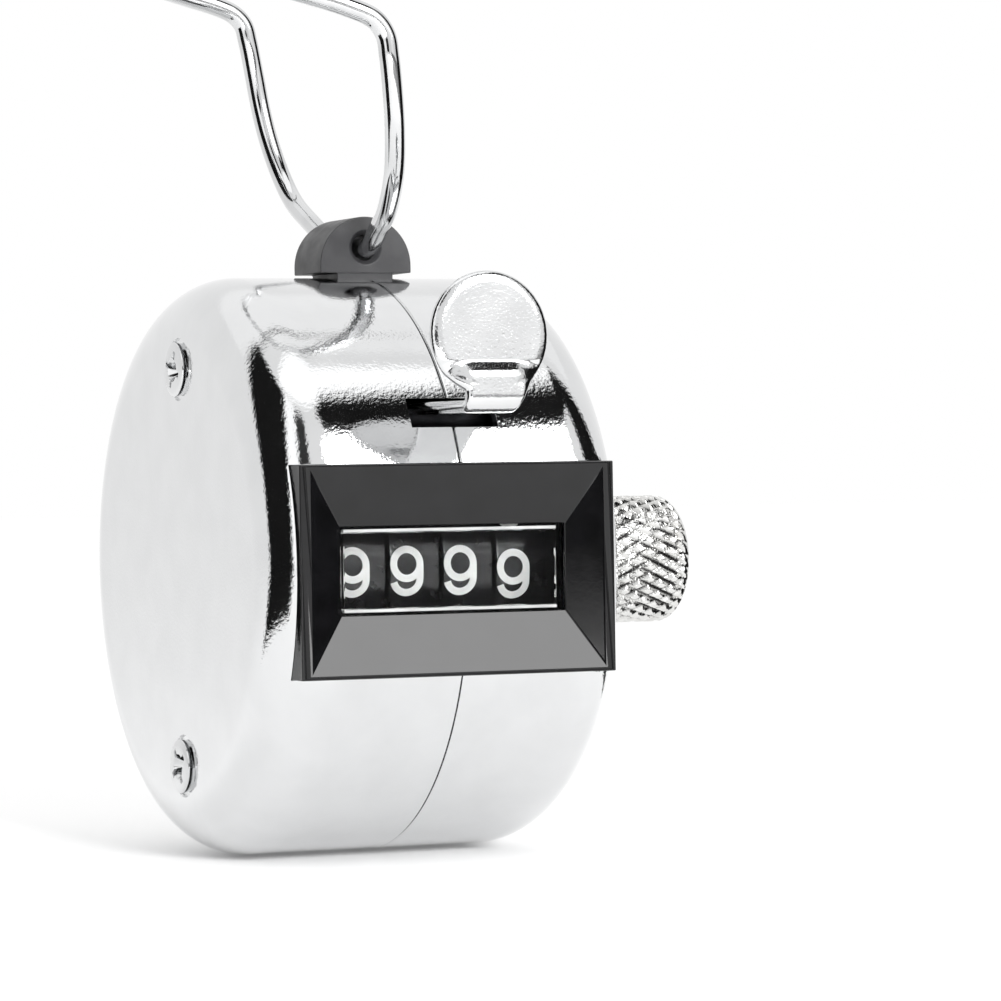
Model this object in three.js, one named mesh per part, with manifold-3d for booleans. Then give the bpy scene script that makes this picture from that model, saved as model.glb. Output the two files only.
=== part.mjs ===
// Hand tally counter: chrome drum casing, thumb lever, four number wheels, reset knob and finger ring.
// Millimetres, +Z up, -Y towards the number window, +X towards the reset knob.
// The origin is the middle of the hole in the lug, where the finger ring hangs.
import * as THREE from 'three';
import { mergeVertices } from 'three/addons/utils/BufferGeometryUtils.js';
import Module from 'manifold-3d';

const wasm = await Module();
wasm.setup();

// Drum casing
const DRUM_R = 23;
const DRUM_HALF = 15;
const WALL = 0.8;
const EDGE_FILLET = 5.2;
const FILLET_STEPS = 5;
const DRUM_SIDES = 44;
const SEAM_X = 0.6;
const SEAM_GAP = 0.08;
const SLIDE = 0.08;
const PRESS = 0.03;
const OUTSIDE = 30;

// Bezel and window
const BEZEL = { x: 13, top: 7.95, bottom: -8.3, front: -22.6, back: -19.6 };
const RIM = { x: 12.1, top: 7.4, bottom: -7.7 };
const WINDOW = { x: 9.3, top: 3.2, bottom: -3.5, y: -21.4 };
const LENS = { x: 10.2, top: 4.3, bottom: -4.6, front: -21.08, back: -20.1, seat: -21.1 };
const PANE = { left: -9.2, right: 8.45, top: 3.02, bottom: -3.3, front: -21.75 };

// Number wheels and their transfer gearing
const WHEEL_Y = -8.3;
const WHEEL_R = 8.8;
const WHEEL_PITCH = 4.48;
const WHEEL_W = 2.8;
const WHEEL_EDGE = 0.15;
const WHEEL_ROW_X = -0.02;
const GEAR_MODULE = 0.7;
const GEAR_TEETH = 20;
const PINION_TEETH = 8;
const PINION_ANGLE = -Math.PI / 4;
const GEAR_W = 0.75;
const PINION_W = 1.3;
const GEAR_ROOT_DROP = 0.75;
const WHEEL_TOOTH = { rise: 0.55, root: 0.98, tip: 0.5 };
const PINION_TOOTH = { rise: 0.5, root: 1.02, tip: 0.42 };
const LOCK_R = 6.1;
const LOCK_W = 0.6;
const LOCK_NOTCH_R = 1.6;
const RATCHET_TEETH = 10;
const RATCHET_R = 2.9;
const RATCHET_ROOT = 2.2;
const RATCHET_W = 1.6;
const SHAFT_R = 1.2;
const TRANSFER_R = 0.8;
const RESET_SHAFT = { left: -11.3, right: 21.5 };
const SPACER_R = 2.15;
const WASHER_R = 2.9;
const CLIP_W = 0.52;
const CLIP_SIZE = 1.1;
const SIDE_GAP = 0.1;

// Curved strips between the wheels: radii and half angle about the wheel axis
const GUARD = {
  inner: 7.95, outer: 8.25, railInner: 9.15, railOuter: 9.7, angle: 0.66, tab: 0.06, gap: 0.14,
};

// Movement frame plates
const PLATE_LEFT = -10.2;
const PLATE_RIGHT = 11.4;
const PLATE_T = 0.8;
const BRIDGE_Y = 3;
const BRIDGE_HALF_Z = 13;
const DETENT_Z = 9.8;
const DETENT_SCREW_R = 0.8;
const LEAF = { front: 2.6, back: 2.92, bottom: 8, top: 11.8, fingerHalf: 0.6, edge: 1 };

// Thumb lever
const LEVER_X = 0.75;
const LEVER_Y = -15;
const LEVER_Z = 11.4;
const LEVER_T = 1;
const LEVER_LOW = 11.65;
const LEVER_W = 5;
const PADDLE_Y = -28.3;
const PADDLE_Z = 17.6;
const PADDLE_R = 4.8;
const NECK_LOW = 4.4;
const NECK_TOP = 5.4;
const SLOT = { x: 3.6, low: 10.7, high: 12.95 };
const LEVER_SHAFT_R = 0.9;
const LEVER_SHAFT = { left: -11.1, right: 13 };
const HUB_R = 1.7;
const HUB_LEFT = -3.2;
const LEVER_CLIP_W = 0.5;
const LEVER_CLIP_R = 1.8;
const RETURN_SPRING = { from: -9, to: -3.7, radius: 1.5, turns: 5, wire: 0.27 };
const PAWL_Y = -6;
const PAWL_X = 8.65;
const PAWL_T = 0.85;
const PAWL_BOSS_R = 1.15;
const PAWL_SPRING = { from: 7.6, to: 8.35, radius: 0.85, turns: 2.2, wire: 0.14 };
const PIN_R = 0.5;
const ARM_X = 9.7;
const ARM_T = 1;
const ARM_HALF = 1.3;

// Casing screws and posts
const SCREW_Y = -1.5;
const SCREW_Z = 15.7;
const SCREW_HEAD_R = 2.4;
const HEAD_T = 0.85;
const HEAD_PROUD = 0.52;
const SHANK_R = 0.95;
const SCREW_LENGTH = 9.5;
const CROSS = { width: 0.7, length: 2.9, deep: 0.9 };
const SEAT_DEEP = 0.35;
const BOSS_R = 2.8;
const POST_R = 2.6;
const POST_END = -11.8;
const POST_BORE_R = 1.05;
const POST_BORE_END = -4;

// Reset knob
const KNOB_R = 5.12;
const KNOB_START = 15.3;
const KNOB_END = 24.4;
const KNOB_ROUND = 1.3;
const COLLAR_R = 4.1;
const COLLAR_LONG = 0.8;

// Lug and finger ring
const HOLE_Z = 25.38;
const LUG_R = 3.9;
const LUG_CENTRE = 23.95;
const LUG_BASE = 23.35;
const LUG_HALF = 2.95;
const LUG_HOLE_R = 1.05;
const LUG_MOUTH = { wider: 0.25, deep: 0.4 };
const NECK = { x: 2.4, y: 2.75, bottom: 21.4 };
const FOOT = { wider: 0.6, bottom: 20.4, top: 21.5 };
const WIRE_R = 0.8;
const WIRE_STEPS = 72;
const WIRE_SIDES = 8;

const chrome = { color: 0xdcdde0, roughness: 0.1, metalness: 1 };
const steel = { color: 0xa9abad, roughness: 0.35, metalness: 1 };
const springSteel = { color: 0x8d9094, roughness: 0.3, metalness: 1 };
const brass = { color: 0xb89a52, roughness: 0.35, metalness: 1 };
const blackGloss = { color: 0x1d1d1f, roughness: 0.15, metalness: 0 };
const blackMatt = { color: 0x2c2c2e, roughness: 0.55, metalness: 0 };
const wheelBlack = { color: 0x26272a, roughness: 0.4, metalness: 0 };
const clear = { color: 0xe8eef0, roughness: 0.05, metalness: 0 };
const nylon = { color: 0xd8d4c6, roughness: 0.5, metalness: 0 };

// ---- solids --------------------------------------------------------------------------------

function signedVolume(position, index) {
  const corners = [new THREE.Vector3(), new THREE.Vector3(), new THREE.Vector3()];
  let sum = 0;
  for (let i = 0; i < index.length; i += 3) {
    corners.forEach((corner, k) => corner.fromBufferAttribute(position, index[i + k]));
    sum += corners[0].dot(corners[1].clone().cross(corners[2]));
  }
  return sum / 6;
}

function solid(geometry) {
  const bare = geometry.clone();
  bare.deleteAttribute('normal');
  bare.deleteAttribute('uv');
  const merged = mergeVertices(bare, 1e-5);
  const position = merged.getAttribute('position');
  const index = [];
  for (let i = 0; i < merged.index.count; i += 3) {
    const [a, b, c] = [0, 1, 2].map((k) => merged.index.getX(i + k));
    if (a !== b && b !== c && c !== a) {
      index.push(a, b, c);
    }
  }
  if (signedVolume(position, index) < 0) {
    index.reverse();
  }
  return new wasm.Manifold(new wasm.Mesh({
    numProp: 3,
    vertProperties: new Float32Array(position.array),
    triVerts: new Uint32Array(index),
  }));
}

function geometryOf(manifold) {
  const raw = manifold.getMesh();
  const geometry = new THREE.BufferGeometry();
  geometry.setAttribute('position', new THREE.BufferAttribute(raw.vertProperties.slice(), 3));
  geometry.setIndex(new THREE.BufferAttribute(raw.triVerts.slice(), 1));
  geometry.computeVertexNormals();
  return geometry;
}

function join(...solids) {
  return solids.reduce((whole, piece) => whole.add(piece));
}

function cut(body, ...tools) {
  return tools.reduce((whole, tool) => whole.subtract(tool), body);
}

function box(x0, x1, y0, y1, z0, z1) {
  const geometry = new THREE.BoxGeometry(x1 - x0, y1 - y0, z1 - z0);
  geometry.translate((x0 + x1) / 2, (y0 + y1) / 2, (z0 + z1) / 2);
  return solid(geometry);
}

// A rod along X, round about (y, z)
function rodX(x0, x1, radius, y = 0, z = 0, sides = 16) {
  const geometry = new THREE.CylinderGeometry(radius, radius, x1 - x0, sides);
  geometry.rotateZ(Math.PI / 2);
  geometry.translate((x0 + x1) / 2, y, z);
  return solid(geometry);
}

// A rod along Y, with a radius at each end
function rodY(y0, y1, r0, r1, x, z, sides = 16) {
  const geometry = new THREE.CylinderGeometry(r1, r0, y1 - y0, sides);
  geometry.translate(x, (y0 + y1) / 2, z);
  return solid(geometry);
}

// An outline in the Y-Z plane, made thick along X
function plateX(shape, x0, x1, curveSegments = 12) {
  const geometry = new THREE.ExtrudeGeometry(shape, { depth: x1 - x0, bevelEnabled: false, curveSegments });
  geometry.applyMatrix4(new THREE.Matrix4().makeBasis(
    new THREE.Vector3(0, 1, 0), new THREE.Vector3(0, 0, 1), new THREE.Vector3(1, 0, 0)));
  geometry.translate(x0, 0, 0);
  return solid(geometry);
}

// An outline in the X-Z plane, made thick along Y
function plateY(shape, y0, y1, curveSegments = 12) {
  const geometry = new THREE.ExtrudeGeometry(shape, { depth: y1 - y0, bevelEnabled: false, curveSegments });
  geometry.applyMatrix4(new THREE.Matrix4().makeBasis(
    new THREE.Vector3(1, 0, 0), new THREE.Vector3(0, 0, 1), new THREE.Vector3(0, -1, 0)));
  geometry.translate(0, y1, 0);
  return solid(geometry);
}

// A profile of [radius, x] points turned about the X axis
function turned(profile, segments) {
  const points = profile.map(([radius, x]) => new THREE.Vector2(radius, x));
  const geometry = new THREE.LatheGeometry(points, segments);
  geometry.applyMatrix4(new THREE.Matrix4().makeBasis(
    new THREE.Vector3(0, 1, 0), new THREE.Vector3(1, 0, 0), new THREE.Vector3(0, 0, -1)));
  return solid(geometry);
}

function polygon(points) {
  return new THREE.Shape(points.map(([a, b]) => new THREE.Vector2(a, b)));
}

function circleShape(a, b, radius) {
  const shape = new THREE.Shape();
  shape.absarc(a, b, radius, 0, Math.PI * 2);
  return shape;
}

// Round wire that follows a curve
function wire(curve, radius, steps, sides) {
  const shape = new THREE.Shape();
  for (let i = 0; i < sides; i += 1) {
    const angle = (i / sides) * Math.PI * 2;
    const point = [radius * Math.cos(angle), radius * Math.sin(angle)];
    if (i === 0) {
      shape.moveTo(...point);
    } else {
      shape.lineTo(...point);
    }
  }
  shape.closePath();
  return solid(new THREE.ExtrudeGeometry(shape, { steps, bevelEnabled: false, extrudePath: curve }));
}

// A close coil about an axis parallel to X
class Coil extends THREE.Curve {
  constructor(x0, x1, radius, turns) {
    super();
    Object.assign(this, { x0, x1, radius, turns });
  }

  getPoint(t, target = new THREE.Vector3()) {
    const angle = t * this.turns * Math.PI * 2;
    return target.set(
      this.x0 + (this.x1 - this.x0) * t, this.radius * Math.cos(angle), this.radius * Math.sin(angle));
  }
}

// Gear outline: straight-sided teeth, the first centred on angle 0
function gearShape(teeth, rootR, tipR, rootWidth, tipWidth) {
  const pitch = (Math.PI * 2) / teeth;
  const points = [];
  for (let i = 0; i < teeth; i += 1) {
    const centre = i * pitch;
    [[rootR, -rootWidth / 2], [tipR, -tipWidth / 2], [tipR, tipWidth / 2], [rootR, rootWidth / 2]]
      .forEach(([radius, along]) => {
        const angle = centre + along / radius;
        points.push([radius * Math.cos(angle), radius * Math.sin(angle)]);
      });
  }
  return polygon(points);
}

// Saw-tooth outline for the one-way drive
function ratchetShape(teeth, rootR, tipR) {
  const pitch = (Math.PI * 2) / teeth;
  const points = [];
  for (let i = 0; i < teeth; i += 1) {
    const angle = i * pitch;
    points.push([tipR * Math.cos(angle), tipR * Math.sin(angle)]);
    points.push([rootR * Math.cos(angle + pitch * 0.12), rootR * Math.sin(angle + pitch * 0.12)]);
  }
  return polygon(points);
}

// A block with one rectangle at y0 and another at y1
function taperedBlock(y0, near, y1, far) {
  const geometry = new THREE.BoxGeometry(1, 1, 1);
  const position = geometry.getAttribute('position');
  for (let i = 0; i < position.count; i += 1) {
    const end = position.getY(i) < 0 ? near : far;
    const x = position.getX(i) < 0 ? -end.x : end.x;
    const z = position.getZ(i) < 0 ? end.bottom : end.top;
    position.setXYZ(i, x, position.getY(i) < 0 ? y0 : y1, z);
  }
  return solid(geometry);
}

// ---- scene graph --------------------------------------------------------------------------

const counter = new THREE.Group();
counter.name = 'tally_counter';
const drum = new THREE.Group();
drum.name = 'drum_centred';
drum.position.set(-SEAM_X, 0, -HOLE_Z);
counter.add(drum);

function place(parent, name, body, look, position = [0, 0, 0]) {
  const mesh = new THREE.Mesh(geometryOf(body), new THREE.MeshStandardMaterial(look));
  mesh.name = name;
  mesh.position.set(...position);
  parent.add(mesh);
}

// ---- casing halves ------------------------------------------------------------------------

// Half a drum: side is -1 for the left half and 1 for the right half
function halfShell(side) {
  const outer = [[0, side * DRUM_HALF]];
  const inner = [[0, side * (DRUM_HALF - WALL)]];
  const centreR = DRUM_R - EDGE_FILLET;
  const centreX = DRUM_HALF - EDGE_FILLET;
  for (let i = 0; i <= FILLET_STEPS; i += 1) {
    const angle = (i / FILLET_STEPS) * (Math.PI / 2);
    const along = [Math.sin(angle), Math.cos(angle)];
    outer.push([centreR + EDGE_FILLET * along[0], side * (centreX + EDGE_FILLET * along[1])]);
    const inside = EDGE_FILLET - WALL;
    inner.push([centreR + inside * along[0], side * (centreX + inside * along[1])]);
  }
  const edge = SEAM_X + (side * SEAM_GAP) / 2;
  outer.push([DRUM_R, edge]);
  inner.push([DRUM_R - WALL, edge]);
  return turned([...outer, ...inner.reverse()], DRUM_SIDES);
}

const bezelHole = box(-BEZEL.x - SLIDE, BEZEL.x + SLIDE, -OUTSIDE, BEZEL.back + 2 * WALL,
  BEZEL.bottom - SLIDE, BEZEL.top + SLIDE);
const leverSlot = box(LEVER_X - SLOT.x, LEVER_X + SLOT.x, -OUTSIDE, LEVER_Y - HUB_R, SLOT.low, SLOT.high);
const lugHole = box(SEAM_X - NECK.x - SLIDE, SEAM_X + NECK.x + SLIDE,
  -NECK.y - SLIDE, NECK.y + SLIDE, FOOT.bottom, OUTSIDE);
const screwPlaces = [-1, 1].map((up) => [SCREW_Y, up * SCREW_Z]);
const screwSeats = screwPlaces.map((at) => join(
  rodX(-OUTSIDE, -DRUM_HALF + SEAT_DEEP, SCREW_HEAD_R + 0.2, ...at),
  rodX(-OUTSIDE, POST_END + 1, SHANK_R + 0.2, ...at)));
const leftBosses = screwPlaces.map((at) => rodX(-DRUM_HALF + WALL / 2, POST_END - SIDE_GAP, BOSS_R, ...at));
place(drum, 'left_casing',
  cut(join(halfShell(-1), ...leftBosses), bezelHole, leverSlot, lugHole, ...screwSeats), chrome);

const posts = screwPlaces.map((at) => rodX(POST_END, DRUM_HALF - WALL / 2, POST_R, ...at));
const postBores = screwPlaces.map((at) => rodX(-OUTSIDE, POST_BORE_END, POST_BORE_R, ...at));
const shaftHole = rodX(0, OUTSIDE, SHAFT_R + 0.4, WHEEL_Y, 0);
place(drum, 'right_casing',
  cut(join(halfShell(1), ...posts), bezelHole, leverSlot, lugHole, shaftHole, ...postBores), chrome);

// Pan-head screws that close the casing from the left; the head's crown is a profile of [radius, x]
const crown = [[0, 0], [1.5, 0], [2.1, 0.2], [SCREW_HEAD_R, 0.6], [SCREW_HEAD_R, HEAD_T], [0, HEAD_T]];
const crossRecess = join(
  box(-1, CROSS.deep, -CROSS.length / 2, CROSS.length / 2, -CROSS.width / 2, CROSS.width / 2),
  box(-1, CROSS.deep, -CROSS.width / 2, CROSS.width / 2, -CROSS.length / 2, CROSS.length / 2));
const screwBody = cut(join(turned(crown, 18), rodX(HEAD_T / 2, SCREW_LENGTH, SHANK_R)), crossRecess);
[['casing_screw_upper', 1], ['casing_screw_lower', -1]].forEach(([name, up]) => {
  place(drum, name, screwBody, chrome, [-DRUM_HALF - HEAD_PROUD, SCREW_Y, up * SCREW_Z]);
});

// ---- bezel and window ---------------------------------------------------------------------

const bezelBlock = box(-BEZEL.x, BEZEL.x, BEZEL.front, BEZEL.back, BEZEL.bottom, BEZEL.top);
const OVERCUT = 0.4;
const grow = OVERCUT / (WINDOW.y - BEZEL.front);
const mouth = {
  x: RIM.x + (RIM.x - WINDOW.x) * grow,
  top: RIM.top + (RIM.top - WINDOW.top) * grow,
  bottom: RIM.bottom + (RIM.bottom - WINDOW.bottom) * grow,
};
const facets = taperedBlock(BEZEL.front - OVERCUT, mouth, WINDOW.y, WINDOW);
const through = box(-WINDOW.x, WINDOW.x, WINDOW.y - 0.01, BEZEL.back + 1, WINDOW.bottom, WINDOW.top);
const lensSeat = box(-LENS.x - SLIDE, LENS.x + SLIDE, LENS.seat, BEZEL.back + 1,
  LENS.bottom - SLIDE, LENS.top + SLIDE);
place(drum, 'bezel', cut(bezelBlock, facets, through, lensSeat), blackGloss);

// The lens is a flange behind the window and a raised pane that stands in it
place(drum, 'window_lens', join(
  box(-LENS.x, LENS.x, LENS.front, LENS.back, LENS.bottom, LENS.top),
  box(PANE.left, PANE.right, PANE.front, LENS.back, PANE.bottom, PANE.top)), clear);

// ---- lug and finger ring ------------------------------------------------------------------

const lugOutline = new THREE.Shape();
lugOutline.moveTo(SEAM_X - LUG_R, LUG_BASE);
lugOutline.lineTo(SEAM_X + LUG_R, LUG_BASE);
lugOutline.lineTo(SEAM_X + LUG_R, LUG_CENTRE);
lugOutline.absarc(SEAM_X, LUG_CENTRE, LUG_R, 0, Math.PI);
lugOutline.closePath();
const lugNeck = box(SEAM_X - NECK.x, SEAM_X + NECK.x, -NECK.y, NECK.y, NECK.bottom, LUG_CENTRE);
const footX = NECK.x + FOOT.wider;
const footY = NECK.y + FOOT.wider;
const lugFoot = box(SEAM_X - footX, SEAM_X + footX, -footY, footY, FOOT.bottom, FOOT.top);
const mouthR = LUG_HOLE_R + LUG_MOUTH.wider;
const lugMouths = [
  rodY(-LUG_HALF - SLIDE, -LUG_HALF + LUG_MOUTH.deep, mouthR, LUG_HOLE_R, SEAM_X, HOLE_Z),
  rodY(LUG_HALF - LUG_MOUTH.deep, LUG_HALF + SLIDE, LUG_HOLE_R, mouthR, SEAM_X, HOLE_Z)];
place(drum, 'ring_lug', cut(
  join(plateY(lugOutline, -LUG_HALF, LUG_HALF, 20), lugNeck, lugFoot),
  rodY(-OUTSIDE, OUTSIDE, LUG_HOLE_R, LUG_HOLE_R, SEAM_X, HOLE_Z), ...lugMouths), blackMatt);

// The ring is one bent wire; its ends meet inside the lug. Bend points are [x, y, z] from the hole.
// Both arms lean to the left, and the back arm rides a little higher than the front one.
const ringBends = [
  [0, -0.5, 0], [0, -3.2, 0], [-0.1, -4.8, 0.5], [-0.25, -6.4, 1.35], [-0.42, -8.4, 2.4],
  [-0.93, -11.4, 5.3], [-1.5, -13.1, 8.6], [-2, -14, 11.5], [-2.45, -14.5, 14.2], [-2.75, -14.5, 15.9],
  [-3.7, -14.5, 17.1], [-5.9, -14.4, 18], [-8.4, -14.3, 18.7], [-12.4, -13.4, 19.8], [-16.6, -10.8, 21],
  [-19.4, -6, 22], [-20.4, 0, 22.6], [-19.4, 6, 22.9], [-16.6, 10.8, 22.9], [-12.4, 13.4, 22.4],
  [-8.4, 14.3, 21.5], [-6.4, 14.4, 21], [-4.6, 14.4, 20.3], [-3.7, 14.4, 19.4], [-3.3, 14.4, 18],
  [-2.7, 14.6, 15.3], [-2.2, 14.6, 12.6], [-1.76, 14.1, 10], [-1.2, 12.8, 6.9], [-0.8, 10.9, 4.5],
  [-0.4, 7.4, 2.3], [-0.15, 5.2, 1.1], [0, 3.2, 0.1], [0, 0.5, 0],
].map((point) => new THREE.Vector3(...point));
const ringCurve = new THREE.CatmullRomCurve3(ringBends, false, 'centripetal');
place(counter, 'finger_ring', wire(ringCurve, WIRE_R, WIRE_STEPS, WIRE_SIDES), chrome);

// ---- movement frame -----------------------------------------------------------------------

const transferCentre = {
  y: WHEEL_Y + ((GEAR_TEETH + PINION_TEETH) / 2) * GEAR_MODULE * Math.cos(PINION_ANGLE),
  z: ((GEAR_TEETH + PINION_TEETH) / 2) * GEAR_MODULE * Math.sin(PINION_ANGLE),
};
const BRIDGE_BACK = BRIDGE_Y + PLATE_T;
const plateOutline = polygon([
  [-16.9, 9.6], [-16.9, 12.9], [-13.2, 13.3], [-5.6, 17], [-4.2, 19], [1.2, 19], [BRIDGE_BACK, 16.5],
  [BRIDGE_BACK, -16.5], [1.2, -19], [-4.2, -19], [-5.6, -17], [-10, -10.5], [-16.2, -6], [-16.2, 5.5],
]);
const across = (radius, y, z) => rodX(-OUTSIDE, OUTSIDE, radius, y, z);
const plateHoles = [
  across(SHAFT_R + SLIDE, WHEEL_Y, 0),
  across(LEVER_SHAFT_R + PRESS, LEVER_Y, LEVER_Z),
  across(TRANSFER_R + PRESS, transferCentre.y, transferCentre.z),
  ...screwPlaces.map((at) => across(POST_R + SLIDE, ...at)),
];
const bridge = box(PLATE_LEFT, PLATE_RIGHT + PLATE_T, BRIDGE_Y, BRIDGE_BACK, -BRIDGE_HALF_Z, BRIDGE_HALF_Z);
const detentHoleR = DETENT_SCREW_R + 0.05;
const detentHole = rodY(0, BRIDGE_BACK + 1, detentHoleR, detentHoleR, WHEEL_ROW_X, DETENT_Z);
place(drum, 'movement_frame', cut(
  join(plateX(plateOutline, PLATE_LEFT, PLATE_LEFT + PLATE_T),
    plateX(plateOutline, PLATE_RIGHT, PLATE_RIGHT + PLATE_T), bridge),
  ...plateHoles, detentHole), steel);

// Leaf with one finger behind each wheel
const wheelX = [-1.5, -0.5, 0.5, 1.5].map((place4) => WHEEL_ROW_X + place4 * WHEEL_PITCH);
const finger = polygon([[2.6, 8.2], [2.9, 8.2], [2.9, 7.4], [1.2, 2.2], [0.85, 2.3], [2.6, 7.5]]);
const leaf = box(wheelX[0] - LEAF.edge, wheelX[3] + LEAF.edge, LEAF.front, LEAF.back, LEAF.bottom, LEAF.top);
place(drum, 'detent_spring', cut(
  join(leaf, ...wheelX.map((x) => plateX(finger, x - LEAF.fingerHalf, x + LEAF.fingerHalf))),
  detentHole), springSteel);
place(drum, 'detent_screw', join(
  rodY(2, BRIDGE_BACK + 0.2, DETENT_SCREW_R, DETENT_SCREW_R, WHEEL_ROW_X, DETENT_Z),
  rodY(BRIDGE_BACK + 0.02, BRIDGE_BACK + 1, 1.7, 1.4, WHEEL_ROW_X, DETENT_Z)), steel);

// The guard fills the gaps between the wheels in front; two rails join its strips, clear of the wheels
function arcBand(inner, outer, from, to, steps) {
  const points = [];
  [[outer, from, to], [inner, to, from]].forEach(([radius, start, end]) => {
    for (let i = 0; i <= steps; i += 1) {
      const angle = Math.PI - (start + ((end - start) * i) / steps);
      points.push([WHEEL_Y + radius * Math.cos(angle), radius * Math.sin(angle)]);
    }
  });
  return polygon(points);
}

const guardEdge = WHEEL_W / 2 + GUARD.gap;
const guardEnd = PLATE_RIGHT - GUARD.gap;
const guardSpans = wheelX.map((x, i) => [x + guardEdge, i < 3 ? wheelX[i + 1] - guardEdge : guardEnd]);
const guardStrip = arcBand(GUARD.inner, GUARD.outer, -GUARD.angle, GUARD.angle, 12);
const guardTabs = [-1, 1].map((up) => arcBand(
  GUARD.inner, GUARD.railOuter - 0.1, up * (GUARD.angle - GUARD.tab), up * GUARD.angle, 1));
const guardRails = [-1, 1].map((up) => arcBand(
  GUARD.railInner, GUARD.railOuter, up * (GUARD.angle - GUARD.tab), up * (GUARD.angle + GUARD.tab), 2));
place(drum, 'wheel_guard', join(
  ...guardSpans.flatMap((span) => [guardStrip, ...guardTabs].map((shape) => plateX(shape, ...span))),
  ...guardRails.map((shape) => plateX(shape, PLATE_LEFT + PLATE_T + GUARD.gap, guardEnd))), wheelBlack);

// ---- number wheels ------------------------------------------------------------------------

const axle = new THREE.Group();
axle.name = 'wheel_axis';
axle.position.set(0, WHEEL_Y, 0);
drum.add(axle);

const gearPitchR = (GEAR_TEETH * GEAR_MODULE) / 2;
const pinionPitchR = (PINION_TEETH * GEAR_MODULE) / 2;
const wheelGear = gearShape(
  GEAR_TEETH, gearPitchR - GEAR_ROOT_DROP, gearPitchR + WHEEL_TOOTH.rise, WHEEL_TOOTH.root, WHEEL_TOOTH.tip);
const halfW = WHEEL_W / 2;

function wheelBody(hasGear, hasLock, hasRatchet) {
  let body = turned([
    [0, -halfW], [WHEEL_R - WHEEL_EDGE, -halfW], [WHEEL_R, -halfW + WHEEL_EDGE],
    [WHEEL_R, halfW - WHEEL_EDGE], [WHEEL_R - WHEEL_EDGE, halfW], [0, halfW],
  ], 32);
  if (hasGear) {
    body = body.add(plateX(wheelGear, halfW - 0.1, halfW + GEAR_W));
  }
  if (hasLock) {
    const notch = rodX(-halfW - 1, -halfW - 0.05, LOCK_NOTCH_R, LOCK_R, 0, 12);
    body = body.add(cut(rodX(-halfW - LOCK_W, -halfW + 0.1, LOCK_R, 0, 0, 24), notch));
  }
  if (hasRatchet) {
    const ratchet = ratchetShape(RATCHET_TEETH, RATCHET_ROOT, RATCHET_R);
    body = body.add(plateX(ratchet, halfW - 0.1, halfW + RATCHET_W));
  }
  return cut(body, rodX(-5, 5, SHAFT_R + SLIDE));
}

place(axle, 'number_wheel_thousands', wheelBody(true, false, false), wheelBlack, [wheelX[0], 0, 0]);
place(axle, 'number_wheel_hundreds', wheelBody(true, true, false), wheelBlack, [wheelX[1], 0, 0]);
place(axle, 'number_wheel_tens', wheelBody(true, true, false), wheelBlack, [wheelX[2], 0, 0]);
place(axle, 'number_wheel_units', wheelBody(false, true, true), wheelBlack, [wheelX[3], 0, 0]);

const shaftBore = rodX(-OUTSIDE, OUTSIDE, SHAFT_R + SLIDE);
const washerSpan = [PLATE_RIGHT + PLATE_T + SIDE_GAP, DRUM_HALF - WALL - SIDE_GAP];
const ratchetEnd = wheelX[3] + halfW + RATCHET_W;
const clipEnd = PLATE_LEFT - 0.15;
place(axle, 'reset_shaft', rodX(RESET_SHAFT.left, RESET_SHAFT.right, SHAFT_R), steel);
place(axle, 'spacer_left',
  cut(rodX(PLATE_LEFT + PLATE_T + SIDE_GAP, wheelX[0] - halfW - SIDE_GAP, SPACER_R), shaftBore), brass);
place(axle, 'spacer_right',
  cut(rodX(ratchetEnd + SIDE_GAP, PLATE_RIGHT - SIDE_GAP, SPACER_R), shaftBore), brass);
place(axle, 'shaft_clip',
  cut(rodX(clipEnd - CLIP_W, clipEnd, SHAFT_R + CLIP_SIZE), rodX(-OUTSIDE, 0, SHAFT_R + PRESS)), springSteel);
place(axle, 'knob_washer', cut(rodX(...washerSpan, WASHER_R), shaftBore), nylon);

// Reset knob: turned, with a smooth collar and a rounded outer edge
const knobProfile = [
  [0, KNOB_START], [COLLAR_R, KNOB_START], [COLLAR_R, KNOB_START + COLLAR_LONG],
  [KNOB_R, KNOB_START + COLLAR_LONG + 0.2]];
const knobSteps = 4;
for (let i = 0; i <= knobSteps; i += 1) {
  const angle = (i / knobSteps) * (Math.PI / 2);
  knobProfile.push([
    KNOB_R + KNOB_ROUND * (Math.cos(angle) - 1), KNOB_END + KNOB_ROUND * (Math.sin(angle) - 1)]);
}
knobProfile.push([0, KNOB_END]);
place(axle, 'reset_knob',
  cut(turned(knobProfile, 28), rodX(0, RESET_SHAFT.right + SIDE_GAP, SHAFT_R + PRESS)), chrome);

// ---- transfer pinions ---------------------------------------------------------------------

const transfer = new THREE.Group();
transfer.name = 'transfer_axis';
transfer.position.set(0, transferCentre.y, transferCentre.z);
drum.add(transfer);

const pinionShape = gearShape(PINION_TEETH, pinionPitchR - GEAR_ROOT_DROP,
  pinionPitchR + PINION_TOOTH.rise, PINION_TOOTH.root, PINION_TOOTH.tip);
const pinionBody = cut(
  plateX(pinionShape, -PINION_W / 2, PINION_W / 2), rodX(-PINION_W, PINION_W, TRANSFER_R + SLIDE));
['transfer_pinion_1000', 'transfer_pinion_100', 'transfer_pinion_10'].forEach((name, i) => {
  place(transfer, name, pinionBody, nylon, [wheelX[i] + WHEEL_PITCH / 2, 0, 0]);
});
place(transfer, 'transfer_shaft', rodX(PLATE_LEFT - 0.3, PLATE_RIGHT + PLATE_T + 0.3, TRANSFER_R), steel);

// ---- thumb lever and drive pawl -----------------------------------------------------------

const pivot = new THREE.Group();
pivot.name = 'lever_axis';
pivot.position.set(0, LEVER_Y, LEVER_Z);
drum.add(pivot);

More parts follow.
